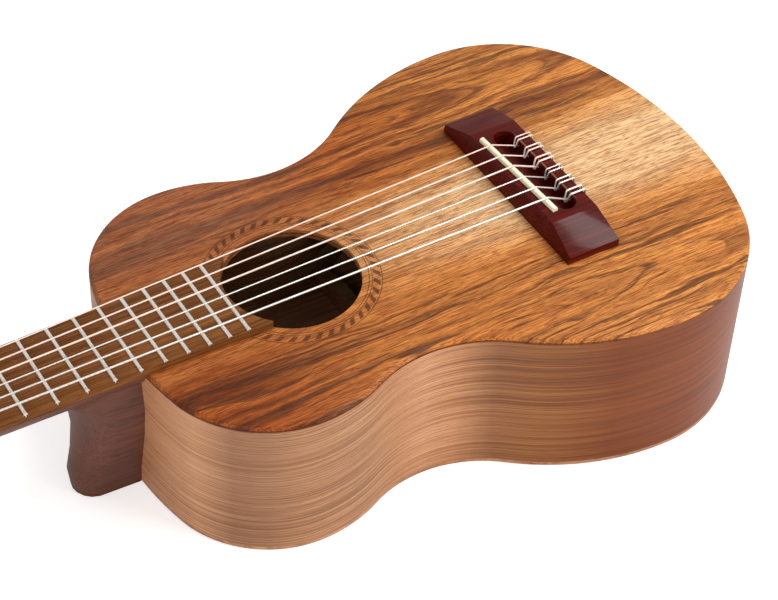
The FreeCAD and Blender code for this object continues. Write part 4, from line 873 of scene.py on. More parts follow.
def modified(piece: Piece, kind: str, **settings: object) -> Piece:
    """Adds a modifier to a piece and applies it.

    Args:
        piece: The piece.
        kind: Which modifier.
        settings: Properties to set on it.

    Returns:
        The piece.
    """
    modifier = piece.modifiers.new(kind.lower(), kind)
    for name, value in settings.items():
        setattr(modifier, name, value)
    hold(piece)
    bpy.ops.object.modifier_apply(modifier=modifier.name)
    return piece


def smooth(piece: Piece, degrees: float) -> Piece:
    """Shades a piece smooth.

    Args:
        piece: The piece.
        degrees: Edges bent by more than this stay sharp.

    Returns:
        The piece.
    """
    hold(piece)
    bpy.ops.object.shade_smooth_by_angle(angle=math.radians(degrees))
    return piece


def cut(piece: Piece, tool: Piece) -> Piece:
    """Cuts a tool out of a piece and throws the tool away.

    Args:
        piece: The piece.
        tool: What is cut out of it.

    Returns:
        The piece.
    """
    modified(piece, "BOOLEAN", operation="DIFFERENCE", solver="EXACT", object=tool)
    bpy.data.objects.remove(tool)
    return piece


def joined(name: str, pieces: Sequence[Piece]) -> Piece:
    """Gathers several meshes in one object.

    Args:
        name: Its name.
        pieces: The meshes.

    Returns:
        The object.
    """
    hold(pieces[0])
    for piece in pieces:
        piece.select_set(True)
    bpy.ops.object.join()
    pieces[0].name = name
    return pieces[0]


def copied(piece: Piece, name: str, placement: Matrix) -> Piece:
    """A copy with its own mesh.

    Args:
        piece: What is copied.
        name: The copy's name.
        placement: Where it is carried.

    Returns:
        The copy.
    """
    twin = bpy.data.objects.new(name, piece.data.copy())
    bpy.context.scene.collection.objects.link(twin)
    twin.data.transform(placement)
    return twin


def block(name: str, low: Sequence[float], high: Sequence[float]) -> Piece:
    """A box to be shaped further or to cut with.

    Args:
        name: Its name.
        low: Its lowest corner in millimetres.
        high: Its highest corner.

    Returns:
        The box.
    """
    deselect()
    middle = [(a + b) / 2 * MM for a, b in zip(low, high)]
    reach = [(b - a) * MM for a, b in zip(low, high)]
    bpy.ops.mesh.primitive_cube_add(size=1.0, location=middle, scale=reach)
    piece = bpy.context.active_object
    piece.name = name
    bpy.ops.object.transform_apply(location=True, rotation=True, scale=True)
    return piece


def chain(name: str, spots: Sequence[Sequence[float]]) -> Piece:
    """A line of edges, drawn out vertex by vertex.

    Args:
        name: Its name.
        spots: Its points in millimetres.

    Returns:
        The line.
    """
    deselect()
    bpy.ops.mesh.primitive_plane_add(size=MM)
    piece = bpy.context.active_object
    piece.name = name
    with editing(piece, chosen=True):
        bpy.ops.mesh.merge(type="CENTER")
        bpy.ops.mesh.select_all(action="SELECT")
        bpy.ops.transform.translate(value=Vector(spots[0]) * MM)
        for before, after in zip(spots, spots[1:]):
            step = (Vector(after) - Vector(before)) * MM
            bpy.ops.mesh.extrude_vertices_move(TRANSFORM_OT_translate={"value": step})
    return piece


def turned(name: str, profile: Sequence[tuple[float, float]], sides: int, x: float = 0.0) -> Piece:
    """A round piece spun about an upright axis.

    Args:
        name: Its name.
        profile: Radius and height of each point, in millimetres.
        sides: How many steps make the round.
        x: Where the axis stands along the strings.

    Returns:
        The piece.
    """
    piece = chain(name, [(x + radius, 0.0, height) for radius, height in profile])
    with editing(piece, chosen=True):
        bpy.ops.mesh.spin(steps=sides, angle=2 * math.pi, center=(x * MM, 0, 0), axis=(0, 0, 1))
        tidy_faces()
    return piece


def softened(node: str, width: float, degrees: float) -> Piece:
    """A copy of a CAD solid, merged, its edges eased and its curves shaded smooth.

    Args:
        node: The solid.
        width: How far sharp edges are eased, in millimetres.
        degrees: Edges sharper than this are eased.

    Returns:
        The copy.
    """
    piece = copied(frame["nodes"][node], node + "_finished", LEVEL)
    hold(piece)
    bpy.ops.mesh.customdata_custom_splitnormals_clear()
    with editing(piece, chosen=True):
        bpy.ops.mesh.remove_doubles(threshold=MERGE * MM)
    if width:
        modified(piece, "BEVEL", width=width * MM, segments=2, limit_method="ANGLE",
                 angle_limit=math.radians(degrees))
    return smooth(piece, degrees + 8.0)


def seat(piece: Piece, look: Look, *nodes: str, placement: Matrix = LEVEL) -> None:
    """Moves a finished piece to its place, dresses it and lets it stand for its solids.

    Args:
        piece: The piece, made about its own frame.
        look: Its finish.
        nodes: The solids it stands for, all on one body.
        placement: Its frame in the row frame.
    """
    piece.data.transform(placement)
    piece.data.materials.clear()
    piece.data.materials.append(look.value.material())
    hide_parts(*nodes)
    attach(piece, body_of(frame["nodes"][nodes[0]])[0])
    LOG.info("%s: %d faces", piece.name, len(piece.data.polygons))


@dataclass
class BodyPlan:
    """The plan of the box as a chain of arcs that touch."""

    x_upper: float = -155.9
    x_lower: float = 24.2
    half_upper: float = 85.8
    half_waist: float = 72.1
    half_lower: float = 113.4
    upper_front: float = 56.4
    upper_rear: float = 73.8
    lower_flank: float = 128.5
    lower_tail: float = 72.0
    step: float = math.radians(2.0)

    def _waist(self) -> tuple[float, float, float]:
        """The hollow circle that touches both bouts.

        Returns:
            Its centre and its radius.
        """
        terms = []
        for x, half, radius in ((self.x_lower, self.half_lower, self.lower_flank),
                                (self.x_upper, self.half_upper, self.upper_rear)):
            rise = self.half_waist - (half - radius)
            scale = 2 * (radius - rise)
            terms.append((1 / scale, -2 * x / scale, (x * x + rise * rise - radius * radius) / scale))
        square, slope, constant = [low - high for low, high in zip(*terms)]
        root = math.sqrt(slope * slope - 4 * square * constant)
        middle = (self.x_lower + self.x_upper) / 2
        x = min([(-slope + sign * root) / (2 * square) for sign in (1, -1)],
                key=lambda at: abs(at - middle))
        radius = terms[0][0] * x * x + terms[0][1] * x + terms[0][2]
        return x, self.half_waist + radius, radius

    @staticmethod
    def _end_radius(x_end: float, x_bout: float, half: float, radius: float) -> float:
        """Radius of the shallow arc across the centre line at one end."""
        reach, height = abs(x_end - x_bout), half - radius
        return (reach * reach + height * height - radius * radius) / (2 * (reach - radius))

    def arcs(self) -> list[tuple[float, float, float, float]]:
        """The arcs of the treble side, from neck to tail.

        Returns:
            Centre x and y, start and end angle of each.
        """
        waist_x, waist_y, _ = self._waist()
        neck = self._end_radius(X_NECK, self.x_upper, self.half_upper, self.upper_front)
        tail = self._end_radius(X_TAIL, self.x_lower, self.half_lower, self.lower_tail)
        upper_y, lower_y = self.half_upper - self.upper_rear, self.half_lower - self.lower_flank
        neck_turn = math.atan2(self.half_upper - self.upper_front, self.x_upper - X_NECK - neck)
        tail_turn = math.atan2(self.half_lower - self.lower_tail, self.x_lower - X_TAIL + tail)
        upper_turn = math.atan2(waist_y - upper_y, waist_x - self.x_upper)
        lower_turn = math.atan2(lower_y - waist_y, self.x_lower - waist_x)
        quarter = math.pi / 2
        return [
            (X_NECK + neck, 0.0, math.pi, neck_turn),
            (self.x_upper, self.half_upper - self.upper_front, neck_turn, quarter),
            (self.x_upper, upper_y, quarter, upper_turn),
            (waist_x, waist_y, upper_turn - math.pi, lower_turn),
            (self.x_lower, lower_y, lower_turn + math.pi, quarter),
            (self.x_lower, self.half_lower - self.lower_tail, quarter, tail_turn),
            (X_TAIL - tail, 0.0, tail_turn, 0.0),
        ]

    def half_line(self, name: str) -> Piece:
        """The treble half of the plan at the level of the top, spun arc by arc.

        Args:
            name: The piece's name.

        Returns:
            The chain of edges.
        """
        piece = chain(name, [(X_NECK, 0.0, 0.0)])
        with editing(piece, chosen=True):
            for x, y, start, end in self.arcs():
                steps = max(1, math.ceil(abs(end - start) / self.step))
                bpy.ops.mesh.spin(steps=steps, angle=start - end, center=(x * MM, y * MM, 0),
                                  axis=(0, 0, 1))
        return piece

    def sheet(self, name: str) -> Piece:
        """The whole plan as one face at the level of the top.

        Args:
            name: The piece's name.

        Returns:
            The sheet.
        """
        piece = self.half_line(name)
        modified(piece, "MIRROR", use_axis=(False, True, False), use_mirror_merge=True,
                 merge_threshold=NEAR * MM)
        with editing(piece, chosen=True):
            bpy.ops.mesh.edge_face_add()
            bpy.ops.mesh.normals_make_consistent(inside=False)
        return piece


@dataclass
class SoundBox:
    """Top, inlaid ring, sides and back of the box."""

    plan: BodyPlan
    top_thickness: float = 2.8
    top_round: float = 2.2
    back_thickness: float = 2.6
    back_round: float = 0.9
    rib_thickness: float = 2.0
    hole_radius: float = 33.7
    ring_inner: float = 36.6
    ring_outer: float = 43.5
    ring_depth: float = 0.9
    ring_gap: float = 0.03
    round_sides: int = 128

    def build(self) -> None:
        """Makes and dresses every piece."""
        self.top()
        self.ring()
        for side, name in ((-1, "rib_bass"), (1, "rib_treble")):
            self.rib(side, name)
        self.back()

    def _fill(self, piece: Piece, height: float, beyond: float) -> None:
        """Fills the flat face between the outline and the circles at one height.

        Args:
            piece: The piece in edit mode.
            height: The face's height.
            beyond: Edges nearer to the hole's centre than this take no part.
        """
        centre = Vector((HOLE_X, 0.0))
        pick(piece, "EDGE",
             lambda spot: abs(spot.z - height) < NEAR and (spot.xy - centre).length > beyond)
        bpy.ops.mesh.fill(use_beauty=True)

    def top(self) -> None:
        """The top plate, rounded at its rim, with the soundhole and the ring's channel."""
        plate = self.plan.sheet("top_plate")
        with editing(plate, chosen=True):
            bpy.ops.mesh.extrude_region_move(
                TRANSFORM_OT_translate={"value": (0, 0, -self.top_thickness * MM)})
            tidy_faces()
            pick(plate, "EDGE", lambda spot: spot.z > -NEAR)
            bpy.ops.mesh.bevel(offset=self.top_round * MM, segments=5, affect="EDGES")
            pick(plate, "FACE", lambda spot: spot.z > -NEAR or spot.z < NEAR - self.top_thickness)
            bpy.ops.mesh.delete(type="ONLY_FACE")
        outer, inner = self.ring_outer + self.ring_gap, self.ring_inner - self.ring_gap
        walls = turned("hole_wall", (
            (outer, 0.0), (outer, -self.ring_depth), (inner, -self.ring_depth), (inner, 0.0),
            (self.hole_radius, 0.0), (self.hole_radius, -self.top_thickness)), self.round_sides, HOLE_X)
        plate = joined("top_plate", (plate, walls))
        with editing(plate):
            self._fill(plate, 0.0, (outer + inner) / 2)
            self._fill(plate, -self.top_thickness, 0.0)
            tidy_faces()
        seat(smooth(plate, FLAT), Look.TOP, "soundboard", placement=SETTLED)

    def ring(self) -> None:
        """The inlaid ring, flush in its channel."""
        profile = ((self.ring_inner, -self.ring_depth), (self.ring_outer, -self.ring_depth),
                   (self.ring_outer, 0.0), (self.ring_inner, 0.0), (self.ring_inner, -self.ring_depth))
        ring = turned("inlaid_ring", profile, self.round_sides, HOLE_X)
        seat(smooth(ring, FLAT), Look.RING, "rosette_ring", placement=SETTLED)

    def rib(self, side: int, name: str) -> None:
        """One bent side, cut level where it meets the back.

        Args:
            side: Plus one for the treble side, minus one for the bass side.
            name: The solid it stands for.
        """
        piece = self.plan.half_line(name + "_bent")
        with editing(piece, chosen=True):
            bpy.ops.transform.translate(value=(0, 0, -self.top_thickness * MM))
            bpy.ops.mesh.extrude_region_move(
                TRANSFORM_OT_translate={"value": (0, 0, -(DEPTH_TAIL + self.top_thickness) * MM)})
        piece.data.transform(Matrix.Scale(side, 4, (0, 1, 0)))
        with editing(piece):
            tidy_faces()
        modified(piece, "SOLIDIFY", thickness=self.rib_thickness * MM, offset=-1.0)
        piece.data.transform(SETTLED)
        with editing(piece, chosen=True):
            bpy.ops.mesh.bisect(plane_co=(0, 0, self.back_thickness * MM), plane_no=(0, 0, 1),
                                use_fill=True, clear_inner=True)
        seat(smooth(piece, FLAT), Look.SIDES, name)

    def back(self) -> None:
        """The back, level, with its rim eased."""
        piece = self.plan.sheet("back_panel")
        with editing(piece, chosen=True):
            bpy.ops.mesh.extrude_region_move(
                TRANSFORM_OT_translate={"value": (0, 0, -(DEPTH_TAIL + 4 * self.back_thickness) * MM)})
            tidy_faces()
        piece.data.transform(SETTLED)
        with editing(piece):
            for height, below in ((0.0, True), (self.back_thickness, False)):
                bpy.ops.mesh.select_all(action="SELECT")
                bpy.ops.mesh.bisect(plane_co=(0, 0, height * MM), plane_no=(0, 0, 1), use_fill=True,
                                    clear_inner=below, clear_outer=not below)
            pick(piece, "EDGE", lambda spot: spot.z < NEAR)
            bpy.ops.mesh.bevel(offset=self.back_round * MM, segments=3, affect="EDGES")
        seat(smooth(piece, FLAT), Look.BACK, "back_plate")


@dataclass
class StringSet:
    """Six strings, each from its knot over the saddle and the nut to the winding on its post."""

    diameters: tuple[float, ...] = (0.70, 0.80, 0.95, 0.75, 0.90, 1.10)
    spacing_saddle: float = 9.28
    spacing_nut: float = 5.9
    height_nut: float = 0.6
    fret_height: float = 1.0
    clearance: float = 0.03
    bridge_back: float = 23.0
    hole_height: float = 6.0
    loop_gap: float = 0.5
    tail_length: float = 3.6
    saddle_x: float = 0.85
    saddle_slant: float = 3.1
    saddle_half: float = 30.8
    saddle_thickness: float = 2.8
    saddle_top: float = 12.6
    crown_share: float = 0.42
    post_first: float = 38.0
    post_step: float = 35.0
    post_offset: float = 19.0
    post_radius: float = 3.0
    post_gap: float = 0.12
    coil_bottom: float = 5.2
    coil_turns: float = 2.1
    coil_gap: float = 0.48
    coil_steps: int = 30
    bend_step: float = math.radians(9)

    def post(self, index: int) -> tuple[Vector, int]:
        """Where a string's post stands.

        Args:
            index: Which string, from the treble side.

        Returns:
            Its place in the head's frame, and its side, plus one being the bass side.
        """
        count = len(self.diameters)
        side = -1 if index < count // 2 else 1
        row = min(index, count - 1 - index)
        return Vector((self.post_first + row * self.post_step, side * self.post_offset, 0.0)), side

    def _coil_point(self, index: int, angle: float) -> Vector:
        """A point of the winding on a post.

        Args:
            index: Which string.
            angle: How far round it lies from where the winding starts.

        Returns:
            The point in the playing frame.
        """
        thick = self.diameters[index]
        radius = self.post_radius + self.post_gap + thick / 2
        centre, side = self.post(index)
        rise = self.coil_bottom + (thick + self.coil_gap) * angle / (2 * math.pi)
        spot = centre + Vector((radius * math.sin(angle), -side * radius * math.cos(angle), rise))
        return HEAD_PLACE + HEAD_TURN @ spot

    def _rounded(self, before: Vector, corner: Vector, after: Vector, radius: float) -> list[Vector]:
        """Rounds one corner of a route.

        Args:
            before: The corner before it.
            corner: The corner.
            after: The corner after it.
            radius: Radius of the arc.

        Returns:
            Points along the arc.
        """
        way_in, way_out = (corner - before).normalized(), (after - corner).normalized()
        turn = way_in.angle(way_out)
        steps = max(1, math.ceil(turn / self.bend_step))
        centre = corner + (way_out - way_in).normalized() * (radius / math.cos(turn / 2))
        start = corner - way_in * (radius * math.tan(turn / 2)) - centre
        axis = way_in.cross(way_out)
        return [centre + Matrix.Rotation(turn * step / steps, 3, axis) @ start
                for step in range(steps + 1)]

    def _saddle_bend(self, index: int, before: Vector, after: Vector) -> tuple[Vector, float]:
        """How a string bends over the saddle's crown.

        Args:
            index: Which string.
            before: The corner before it.
            after: The corner after it.

        Returns:
            The corner, and the radius of its arc.
        """
        y = before.y
        crown = self.saddle_thickness * self.crown_share
        x = self.saddle_x - self.saddle_slant * y / (2 * self.saddle_half)
        centre = Vector((x + self.saddle_thickness / 2 - crown, y, self.saddle_top - crown))
        radius = crown + self.diameters[index] / 2 + self.clearance
        over = centre + Vector((0, 0, radius))
        way_in, way_out = (over - before).normalized(), (after - over).normalized()
        outward = (way_in - way_out).normalized()
        return centre + outward * (radius / math.cos(way_in.angle(way_out) / 2)), radius

    def _knot(self, index: int, y: float) -> list[Vector]:
        """The knot of a string, from its hole behind the tie block, over it, round itself and back.

        Args:
            index: Which string.
            y: Where it lies across the bridge.

        Returns:
            Its corners.
        """
        radius = self.diameters[index] / 2
        step = radius * 2 + self.loop_gap
        behind = self.bridge_back + radius + self.loop_gap
        before = TIE_FRONT - radius - self.loop_gap
        over = BRIDGE_TOP + radius + self.loop_gap / 2
        under, crossing = self.hole_height, before - step
        corners = (
            (behind, 0.0, under), (behind, step, over), (before, step, over), (crossing, step / 2, under),
            (crossing, -step / 2, under), (before, -step, over), (behind, -step, over),
            (behind, -step, over - self.tail_length))
        return [Vector((x, y + across, z)) for x, across, z in corners]

    def route(self, index: int) -> list[Vector]:
        """The whole centre line of one string.

        Args:
            index: Which string.

        Returns:
            Its points in the playing frame.
        """
        side = (len(self.diameters) - 1) / 2 - index
        thick = self.diameters[index]
        y = side * self.spacing_saddle
        knot = self._knot(index, y)
        hole = Vector((TIE_FRONT, y, self.hole_height))
        nut_height = board_height(-SCALE_LENGTH) + self.fret_height + self.height_nut
        nut_height += thick / 2 + self.clearance
        nut_bend = Vector((-SCALE_LENGTH, side * self.spacing_nut, nut_height))
        entry = self._coil_point(index, 0.0)
        corner, radius = self._saddle_bend(index, Vector((nut_bend.x, y, nut_bend.z)), hole)
        corners = knot[::-1] + [hole, corner, nut_bend, entry]
        radii = [thick] * len(knot) + [radius, thick]
        spots = [corners[0]]
        for at, bend in enumerate(radii, start=1):
            spots += self._rounded(corners[at - 1], corners[at], corners[at + 1], bend)
        steps = round(self.coil_turns * self.coil_steps)
        return spots + [self._coil_point(index, 2 * math.pi * step / self.coil_steps)
                        for step in range(steps + 1)]

    def _tube(self, name: str, spots: Sequence[Vector], radius: float) -> Piece:
        """A round tube along a route, each point of it knowing how far along it lies.

        Args:
            name: Its name.
            spots: Points of the route.
            radius: The tube's radius.

        Returns:
            The tube.
        """
        curve = bpy.data.curves.new(name, "CURVE")
        curve.dimensions = "3D"
        curve.bevel_depth, curve.bevel_resolution, curve.use_fill_caps = radius * MM, 3, True
        spline = curve.splines.new("POLY")
        spline.points.add(len(spots) - 1)
        for point, spot in zip(spline.points, spots):
            point.co = (*(spot * MM), 1.0)
        piece = bpy.data.objects.new(name, curve)
        bpy.context.scene.collection.objects.link(piece)
        hold(piece)
        bpy.ops.object.convert(target="MESH")
        runs = [0.0]
        for before, after in zip(spots, spots[1:]):
            runs.append(runs[-1] + (after - before).length)
        run = piece.data.attributes.new("run", "FLOAT", "POINT")
        ring = len(piece.data.vertices) // len(spots)
        for vertex in range(len(piece.data.vertices)):
            run.data[vertex].value = runs[min(vertex // ring, len(runs) - 1)]
        return smooth(piece, ROUND)

    def build(self) -> None:
        """Makes and dresses the six strings."""
        for index, diameter in enumerate(self.diameters):
            node = f"string_{index + 1}"
            piece = self._tube(node + "_round", self.route(index), diameter / 2)
            seat(piece, SLOT_LOOKS[SLOTS[node]], node, placement=SETTLED)


@dataclass
class TuningMachines:
    """Posts, collars, worms, knobs, plates and screws of the six open machines."""

    strings: StringSet
    post_top: float = 15.0
    post_rim: float = 0.35
    collar_bore: float = 3.1
    collar_sleeve: float = 4.3
    collar_flange: float = 5.3
    collar_rise: float = 1.2
    collar_depth: float = 6.0
    eye_radius: float = 1.0
    eye_rise: float = 4.0
    eye_half: float = 6.0
    head_thickness: float = 12.5
    plate_thickness: float = 1.0
    worm_radius: float = 2.3
    gear_module: float = 0.62
    gear_teeth: int = 14
    addendum: float = 0.48
    dedendum: float = 0.64
    worm_to_plate: float = 0.35
    worm_turns: float = 2.75
    flank: float = math.radians(20)
    flank_gap: float = 0.13
    thread_steps: int = 28
    sink: float = 0.3
    gear_thickness: float = 3.6
    gear_easing: float = 0.06
    shaft_radius: float = 1.5
    ear_thickness: float = 1.2
    ear_gap: float = 0.2
    shaft_stub: float = 0.8
    shaft_reach: float = 14.0
    knob_length: float = 15.0
    knob_half: float = 8.5
    knob_thickness: float = 6.4
    shaft_in_knob: float = 6.0
    cap_screw_radius: float = 2.9
    cap_screw_height: float = 1.1
    seat_radius: float = 2.1
    plate_screw_radius: float = 1.9
    plate_screw_height: float = 0.8
    plate_screw_shank: float = 0.9
    plate_screw_length: float = 8.0
    plate_margin: float = 11.0
    slot_width: float = 0.45

    def __post_init__(self) -> None:
        """Works out the levels behind the head."""
        self.pitch = math.pi * self.gear_module
        self.offset = self.gear_teeth * self.gear_module / 2 + self.worm_radius
        self.head_back = -VENEER_THICKNESS - self.head_thickness
        self.plate_back = self.head_back - self.plate_thickness
        self.level = self.plate_back - self.worm_to_plate - self.worm_radius - self.addendum
        self.half_root = self.pitch / 4 - self.flank_gap + self.dedendum * math.tan(self.flank)
        self.worm_half = self.worm_turns * self.pitch / 2 + self.half_root + self.sink
        self.ear_place = self.worm_half + self.ear_gap + self.ear_thickness / 2

    def build(self) -> None:
        """Makes one of each kind, and sets its copies in place."""
        post, worm, knob, collar = self.post(), self.worm(), self.knob(), self.collar()
        collars = []
        for index in range(len(self.strings.diameters)):
            number = index + 1
            centre, side = self.strings.post(index)
            at_post = ON_HEAD @ Matrix.Translation(centre * MM)
            spot = Vector((centre.x - self.offset, centre.y, self.level))
            at_worm = ON_HEAD @ Matrix.Translation(spot * MM) @ Matrix.Rotation(-math.pi / 2, 4, "X")
            facing = at_worm if side > 0 else at_worm @ Matrix.Rotation(math.pi, 4, "X")
            seat(copied(post, f"post_{number}_turned", at_post), Look.STEEL, f"post_{number}")
            thread = self._thread(f"worm_{number}_thread")
            thread.data.transform(at_worm)
            whole = joined(f"worm_{number}_cut", (copied(worm, "shaft", facing), thread))
            seat(whole, Look.STEEL, f"worm_{number}")
            seat(copied(knob, f"knob_{number}_shaped", facing), Look.PEARL, f"knob_{number}")
            gear = softened(f"gear_{number}", self.gear_easing, FLAT)
            seat(smooth(gear, TOOTHED), Look.BRASS, f"gear_{number}")
            collars.append(copied(collar, f"collar_{number}", at_post))
        seat(joined("collars", collars), Look.NICKEL, "post_bushings")
        for pattern in (post, worm, knob, collar):
            bpy.data.objects.remove(pattern)
        self.screws()

    def post(self) -> Piece:
        """A string post with its gear screw, about its own axis.

        Returns:
            The pattern for all posts.
        """
        radius, top, rim = self.strings.post_radius, self.post_top, self.post_rim
        foot = self.level + self.gear_thickness / 2
        stem = turned("post", (
            (0.0, top), (radius * 0.8, top), (radius + rim * 0.6, top - rim * 0.4),
            (radius + rim, top - rim), (radius + rim, top - 3 * rim), (radius, top - 4 * rim),
            (radius, foot), (0.0, foot)), 40)
        bore, half = self.eye_radius, self.eye_half
        eye = turned("eye", ((0.0, -half), (bore, -half), (bore, half), (0.0, half)), 20)
        eye_height = Vector((0, 0, (self.strings.coil_bottom + self.eye_rise) * MM))
        eye.data.transform(Matrix.Translation(eye_height) @ Matrix.Rotation(math.pi / 2, 4, "X"))
        cut(stem, eye)
        under = self.level - self.gear_thickness / 2
        reach, drop = self.cap_screw_radius, self.cap_screw_height
        cap = turned("cap", (
            (0.0, foot), (self.seat_radius * 0.7, foot), (self.seat_radius * 0.7, under), (reach, under),
            (reach, under - drop * 0.55), (reach * 0.7, under - drop * 0.95), (0.0, under - drop)), 32)
        self._slot(cap, reach, under - drop * 2, under - drop * 0.5)
        return smooth(joined("post_pattern", (stem, cap)), SLOTTED)

    def _slot(self, screw: Piece, radius: float, low: float, high: float) -> Piece:
        """A screw with its slot cut from one height to another across its radius."""
        half = self.slot_width / 2
        return cut(screw, block("slot", (-radius * 2, -half, low), (radius * 2, half, high)))

    def collar(self) -> Piece:
        """The flanged collar round a post, about the post's axis.

        Returns:
            The pattern for all collars.
        """
        bore, sleeve = self.collar_bore, self.collar_sleeve
        flange, rise = self.collar_flange, self.collar_rise
        ring = turned("collar_pattern", (
            (bore, -self.collar_depth), (sleeve, -self.collar_depth), (sleeve, 0.0), (flange, 0.0),
            (flange, rise * 0.55), (flange - rise * 0.3, rise * 0.85), (flange - rise * 0.7, rise),
            (bore + rise * 0.25, rise), (bore, rise * 0.8), (bore, -self.collar_depth)), 40)
        return smooth(ring, TURNED)

    def worm(self) -> Piece:
        """The worm's core and shaft about z, its knob end upwards.

        Returns:
            The pattern for all worms.
        """
        root, shaft, half = self.worm_radius - self.dedendum, self.shaft_radius, self.worm_half
        inner = self.ear_place + self.ear_thickness / 2 + self.shaft_stub
        outer = self.ear_place + self.shaft_reach + self.shaft_in_knob
        core = turned("worm_pattern", (
            (0.0, -inner), (shaft * 0.8, -inner), (shaft, 0.2 - inner), (shaft, -half), (root, -half),
            (root, half), (shaft, half), (shaft, outer), (0.0, outer)), 28)
        return smooth(core, TURNED)

    def _thread(self, name: str) -> Piece:
        """The right-handed thread about z, with a crest on the +x side at z = 0.

        Args:
            name: The piece's name.

        Returns:
            The thread.
        """
        spread = math.tan(self.flank)
        root, tip = self.worm_radius - self.dedendum - self.sink, self.worm_radius + self.addendum
        foot = self.half_root + self.sink * spread
        crest = self.pitch / 4 - self.flank_gap - self.addendum * spread
        turns = self.worm_turns
        start = Matrix.Rotation(-math.pi * turns, 4, "Z")
        start = start @ Matrix.Translation((0, 0, -self.pitch * turns / 2 * MM))
        thread = chain(name, ((root, 0, -foot), (tip, 0, -crest), (tip, 0, crest), (root, 0, foot),
                              (root, 0, -foot)))
        with editing(thread, chosen=True):
            bpy.ops.mesh.remove_doubles(threshold=MERGE * MM)
            bpy.ops.mesh.edge_face_add()
        thread.data.transform(start)
        steps = round(self.thread_steps * turns)
        modified(thread, "SCREW", angle=2 * math.pi * turns, screw_offset=self.pitch * turns * MM,
                 steps=steps, render_steps=steps)
        with editing(thread):
            tidy_faces()
        return smooth(thread, TURNED)

    def knob(self) -> Piece:
        """A flat rounded button about the shaft, its far end upwards.

        Returns:
            The pattern for all knobs.
        """
        start = self.ear_place + self.shaft_reach
        half, flat, end = self.knob_half, self.knob_thickness / 2, start + self.knob_length
        button = block("knob_pattern", (-half, -flat, start), (half, flat, end))
        with editing(button, chosen=True):
            bpy.ops.mesh.subdivide(number_cuts=2)
            for height, wide in ((start, 0.4), (end, 0.62)):
                pick(button, "VERT", lambda spot: abs(spot.z - height) < NEAR)
                bpy.ops.transform.resize(value=(wide, 0.7, 1), center_override=(0, 0, height * MM))
        modified(button, "SUBSURF", levels=3, render_levels=3)
        return smooth(button, ROUND)

    def screws(self) -> None:
        """The domed screws of both plates, each with its slot turned its own way."""
        radius, rise, shank = self.plate_screw_radius, self.plate_screw_height, self.plate_screw_shank
        end = self.plate_screw_length + self.plate_thickness
        screw = turned("screw_pattern", (
            (0.0, -rise), (radius * 0.55, -rise * 0.9), (radius * 0.85, -rise * 0.6), (radius, 0.0),
            (shank, 0.0), (shank, end * 0.8), (0.0, end)), 24)
        smooth(self._slot(screw, radius, -rise * 2, -rise / 2), SLOTTED)
        first, step = self.strings.post_first, self.strings.post_step
        beyond = self.plate_margin * 2 / 3
        places = [first - self.offset - beyond, first + 2 * step + beyond]
        places += [first + (row + 0.5) * step - self.offset / 2 for row in range(2)]
        copies = []
        for count, x in enumerate(sorted(places)):
            for side in (-1, 1):
                spot = Vector((x, side * self.strings.post_offset, self.plate_back)) * MM
                turn = Matrix.Rotation(math.radians(37 + 61 * count + 23 * side), 4, "Z")
                placement = ON_HEAD @ Matrix.Translation(spot) @ turn
                copies.append(copied(screw, f"screw_{len(copies)}", placement))
        seat(joined("plate_screw_heads", copies), Look.NICKEL, "plate_screws")
        bpy.data.objects.remove(screw)


@dataclass(frozen=True)
class Eased:
    """A solid whose shape is kept, with its edges eased and its curves smooth."""

    node: str
    look: Look
    width: float
    degrees: float = 30.0

    def build(self) -> None:
        """Makes and dresses the copy."""
        seat(softened(self.node, self.width, self.degrees), self.look, self.node)


EASED = (
    Eased("neck", Look.NECK, 0.0, 42.0),
    Eased("heel_cap", Look.BOARD, 0.25),
    Eased("head_veneer", Look.HEAD, 0.0),
    Eased("fretboard", Look.BOARD, 0.15),
    Eased("frets", Look.NICKEL, 0.0, 42.0),
    Eased("nut", Look.BONE, 0.2, 50.0),
    Eased("bridge", Look.BRIDGE, 0.35, 12.0),
    Eased("saddle", Look.BONE, 0.3, 50.0),
    Eased("tuner_plate_bass", Look.NICKEL, 0.12),
    Eased("tuner_plate_treble", Look.NICKEL, 0.12),
)


class Carried:
    """The solids that stay as the frame has them, in their finishes."""

    def build(self) -> None:
        """Dresses every solid by its slot in the record."""
        for name, piece in frame["nodes"].items():
            piece.data.materials.clear()
            piece.data.materials.append(SLOT_LOOKS[SLOTS[name]].value.material())
        LOG.info("%d solids dressed", len(frame["nodes"]))


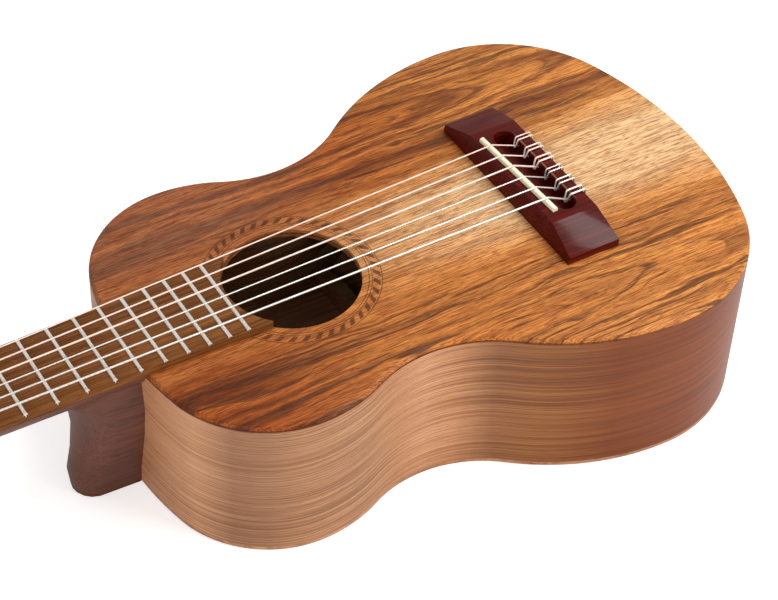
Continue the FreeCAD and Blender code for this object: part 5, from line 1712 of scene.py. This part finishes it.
@dataclass
class Studio:
    """Camera, floor, lamps and sky."""

    focal: float = 103.13
    sensor: float = 36.0
    place: tuple[float, float, float] = (-495.964, -664.768, 732.541)
    right: tuple[float, float, float] = (0.85797615, -0.51279361, 0.03032549)
    down: tuple[float, float, float] = (-0.34078517, -0.61236781, -0.71335204)
    forward: tuple[float, float, float] = (0.38437272, 0.60170456, -0.70014944)
    sky: float = 0.62
    floor_size: float = 12.0
    floor_gap: float = 0.0002
    floor_grey: float = 0.86
    floor_glow: float = 0.5
    aim: tuple[float, float, float] = (-0.05, 0, 0.05)

    def build(self) -> None:
        """Sets up everything round the object."""
        self.camera()
        self.floor()
        self.lamps()
        self.world()
        bpy.context.scene.view_settings.view_transform = "Standard"

    def camera(self) -> None:
        """The camera, solved from the photograph in the playing frame."""
        data = bpy.data.cameras.new("camera")
        data.lens, data.sensor_width, data.sensor_fit = self.focal, self.sensor, "HORIZONTAL"
        data.clip_start, data.clip_end = 0.02, 20.0
        camera = bpy.data.objects.new("camera", data)
        bpy.context.scene.collection.objects.link(camera)
        rows = (self.right, [-part for part in self.down], [-part for part in self.forward])
        axes = Matrix(rows).transposed().to_4x4()
        camera.matrix_world = SETTLED @ Matrix.Translation(Vector(self.place) * MM) @ axes
        bpy.context.scene.camera = camera

    def floor(self) -> None:
        """A pale floor that keeps the object's shadow."""
        deselect()
        bpy.ops.mesh.primitive_plane_add(size=self.floor_size, location=(0, 0, -self.floor_gap))
        floor = bpy.context.active_object
        floor.name = "floor"
        made = bpy.data.materials.new("floor_white")
        made.use_nodes = True
        graph = Graph(made.node_tree)
        end = graph.node("ShaderNodeOutputMaterial")
        plain = graph.node("ShaderNodeBsdfDiffuse")
        plain.inputs["Color"].default_value = (self.floor_grey,) * 3 + (1,)
        glow = graph.node("ShaderNodeEmission")
        path = graph.node("ShaderNodeLightPath")
        seen = graph.times(path.outputs["Is Camera Ray"], self.floor_glow)
        graph.feed(glow.inputs["Strength"], seen)
        both = graph.node("ShaderNodeAddShader")
        graph.feed(both.inputs[0], plain.outputs[0])
        graph.feed(both.inputs[1], glow.outputs[0])
        graph.feed(end.inputs["Surface"], both.outputs[0])
        floor.data.materials.append(made)

    def _lamp(self, name: str, watts: float, size: float, place: Sequence[float]) -> None:
        """One soft square lamp, turned to the object.

        Args:
            name: Its name.
            watts: Its power.
            size: Its side in metres.
            place: Where it hangs, in metres.
        """
        data = bpy.data.lights.new(name, "AREA")
        data.energy, data.size = watts, size
        lamp = bpy.data.objects.new(name, data)
        bpy.context.scene.collection.objects.link(lamp)
        lamp.location = place
        lamp.rotation_mode = "QUATERNION"
        lamp.rotation_quaternion = (Vector(self.aim) - Vector(place)).to_track_quat("-Z", "Y")

    def lamps(self) -> None:
        """A key from the right front, a soft box overhead and a weak lamp from the left."""
        self._lamp("key", 19.0, 0.9, (0.95, -1.15, 1.1))
        self._lamp("overhead", 11.0, 0.5, (0.62, 0.06, 1.45))
        self._lamp("side", 8.0, 0.8, (-1.3, -0.9, 0.7))

    def world(self) -> None:
        """A sky that lights softly and shows white."""
        world = bpy.data.worlds.new("sky")
        bpy.context.scene.world = world
        world.use_nodes = True
        graph = Graph(world.node_tree)
        end = graph.node("ShaderNodeOutputWorld")
        path = graph.node("ShaderNodeLightPath")
        seen = graph.larger(path.outputs["Is Camera Ray"], path.outputs["Is Transmission Ray"])
        seen = graph.larger(seen, path.outputs["Is Glossy Ray"])
        strength = graph.plus(graph.times(seen, 1.0 - self.sky), self.sky)
        sky = graph.node("ShaderNodeBackground")
        graph.feed(sky.inputs["Strength"], strength)
        graph.feed(end.inputs["Surface"], sky.outputs[0])


def main() -> None:
    """Builds and dresses the instrument, then the studio."""
    logging.basicConfig(level=logging.INFO, format="%(name)s: %(message)s")
    SharedEffects().build()
    Carried().build()
    SoundBox(BodyPlan()).build()
    for piece in EASED:
        piece.build()
    strings = StringSet()
    strings.build()
    TuningMachines(strings).build()
    Studio().build()


if __name__ == "__main__":
    main()
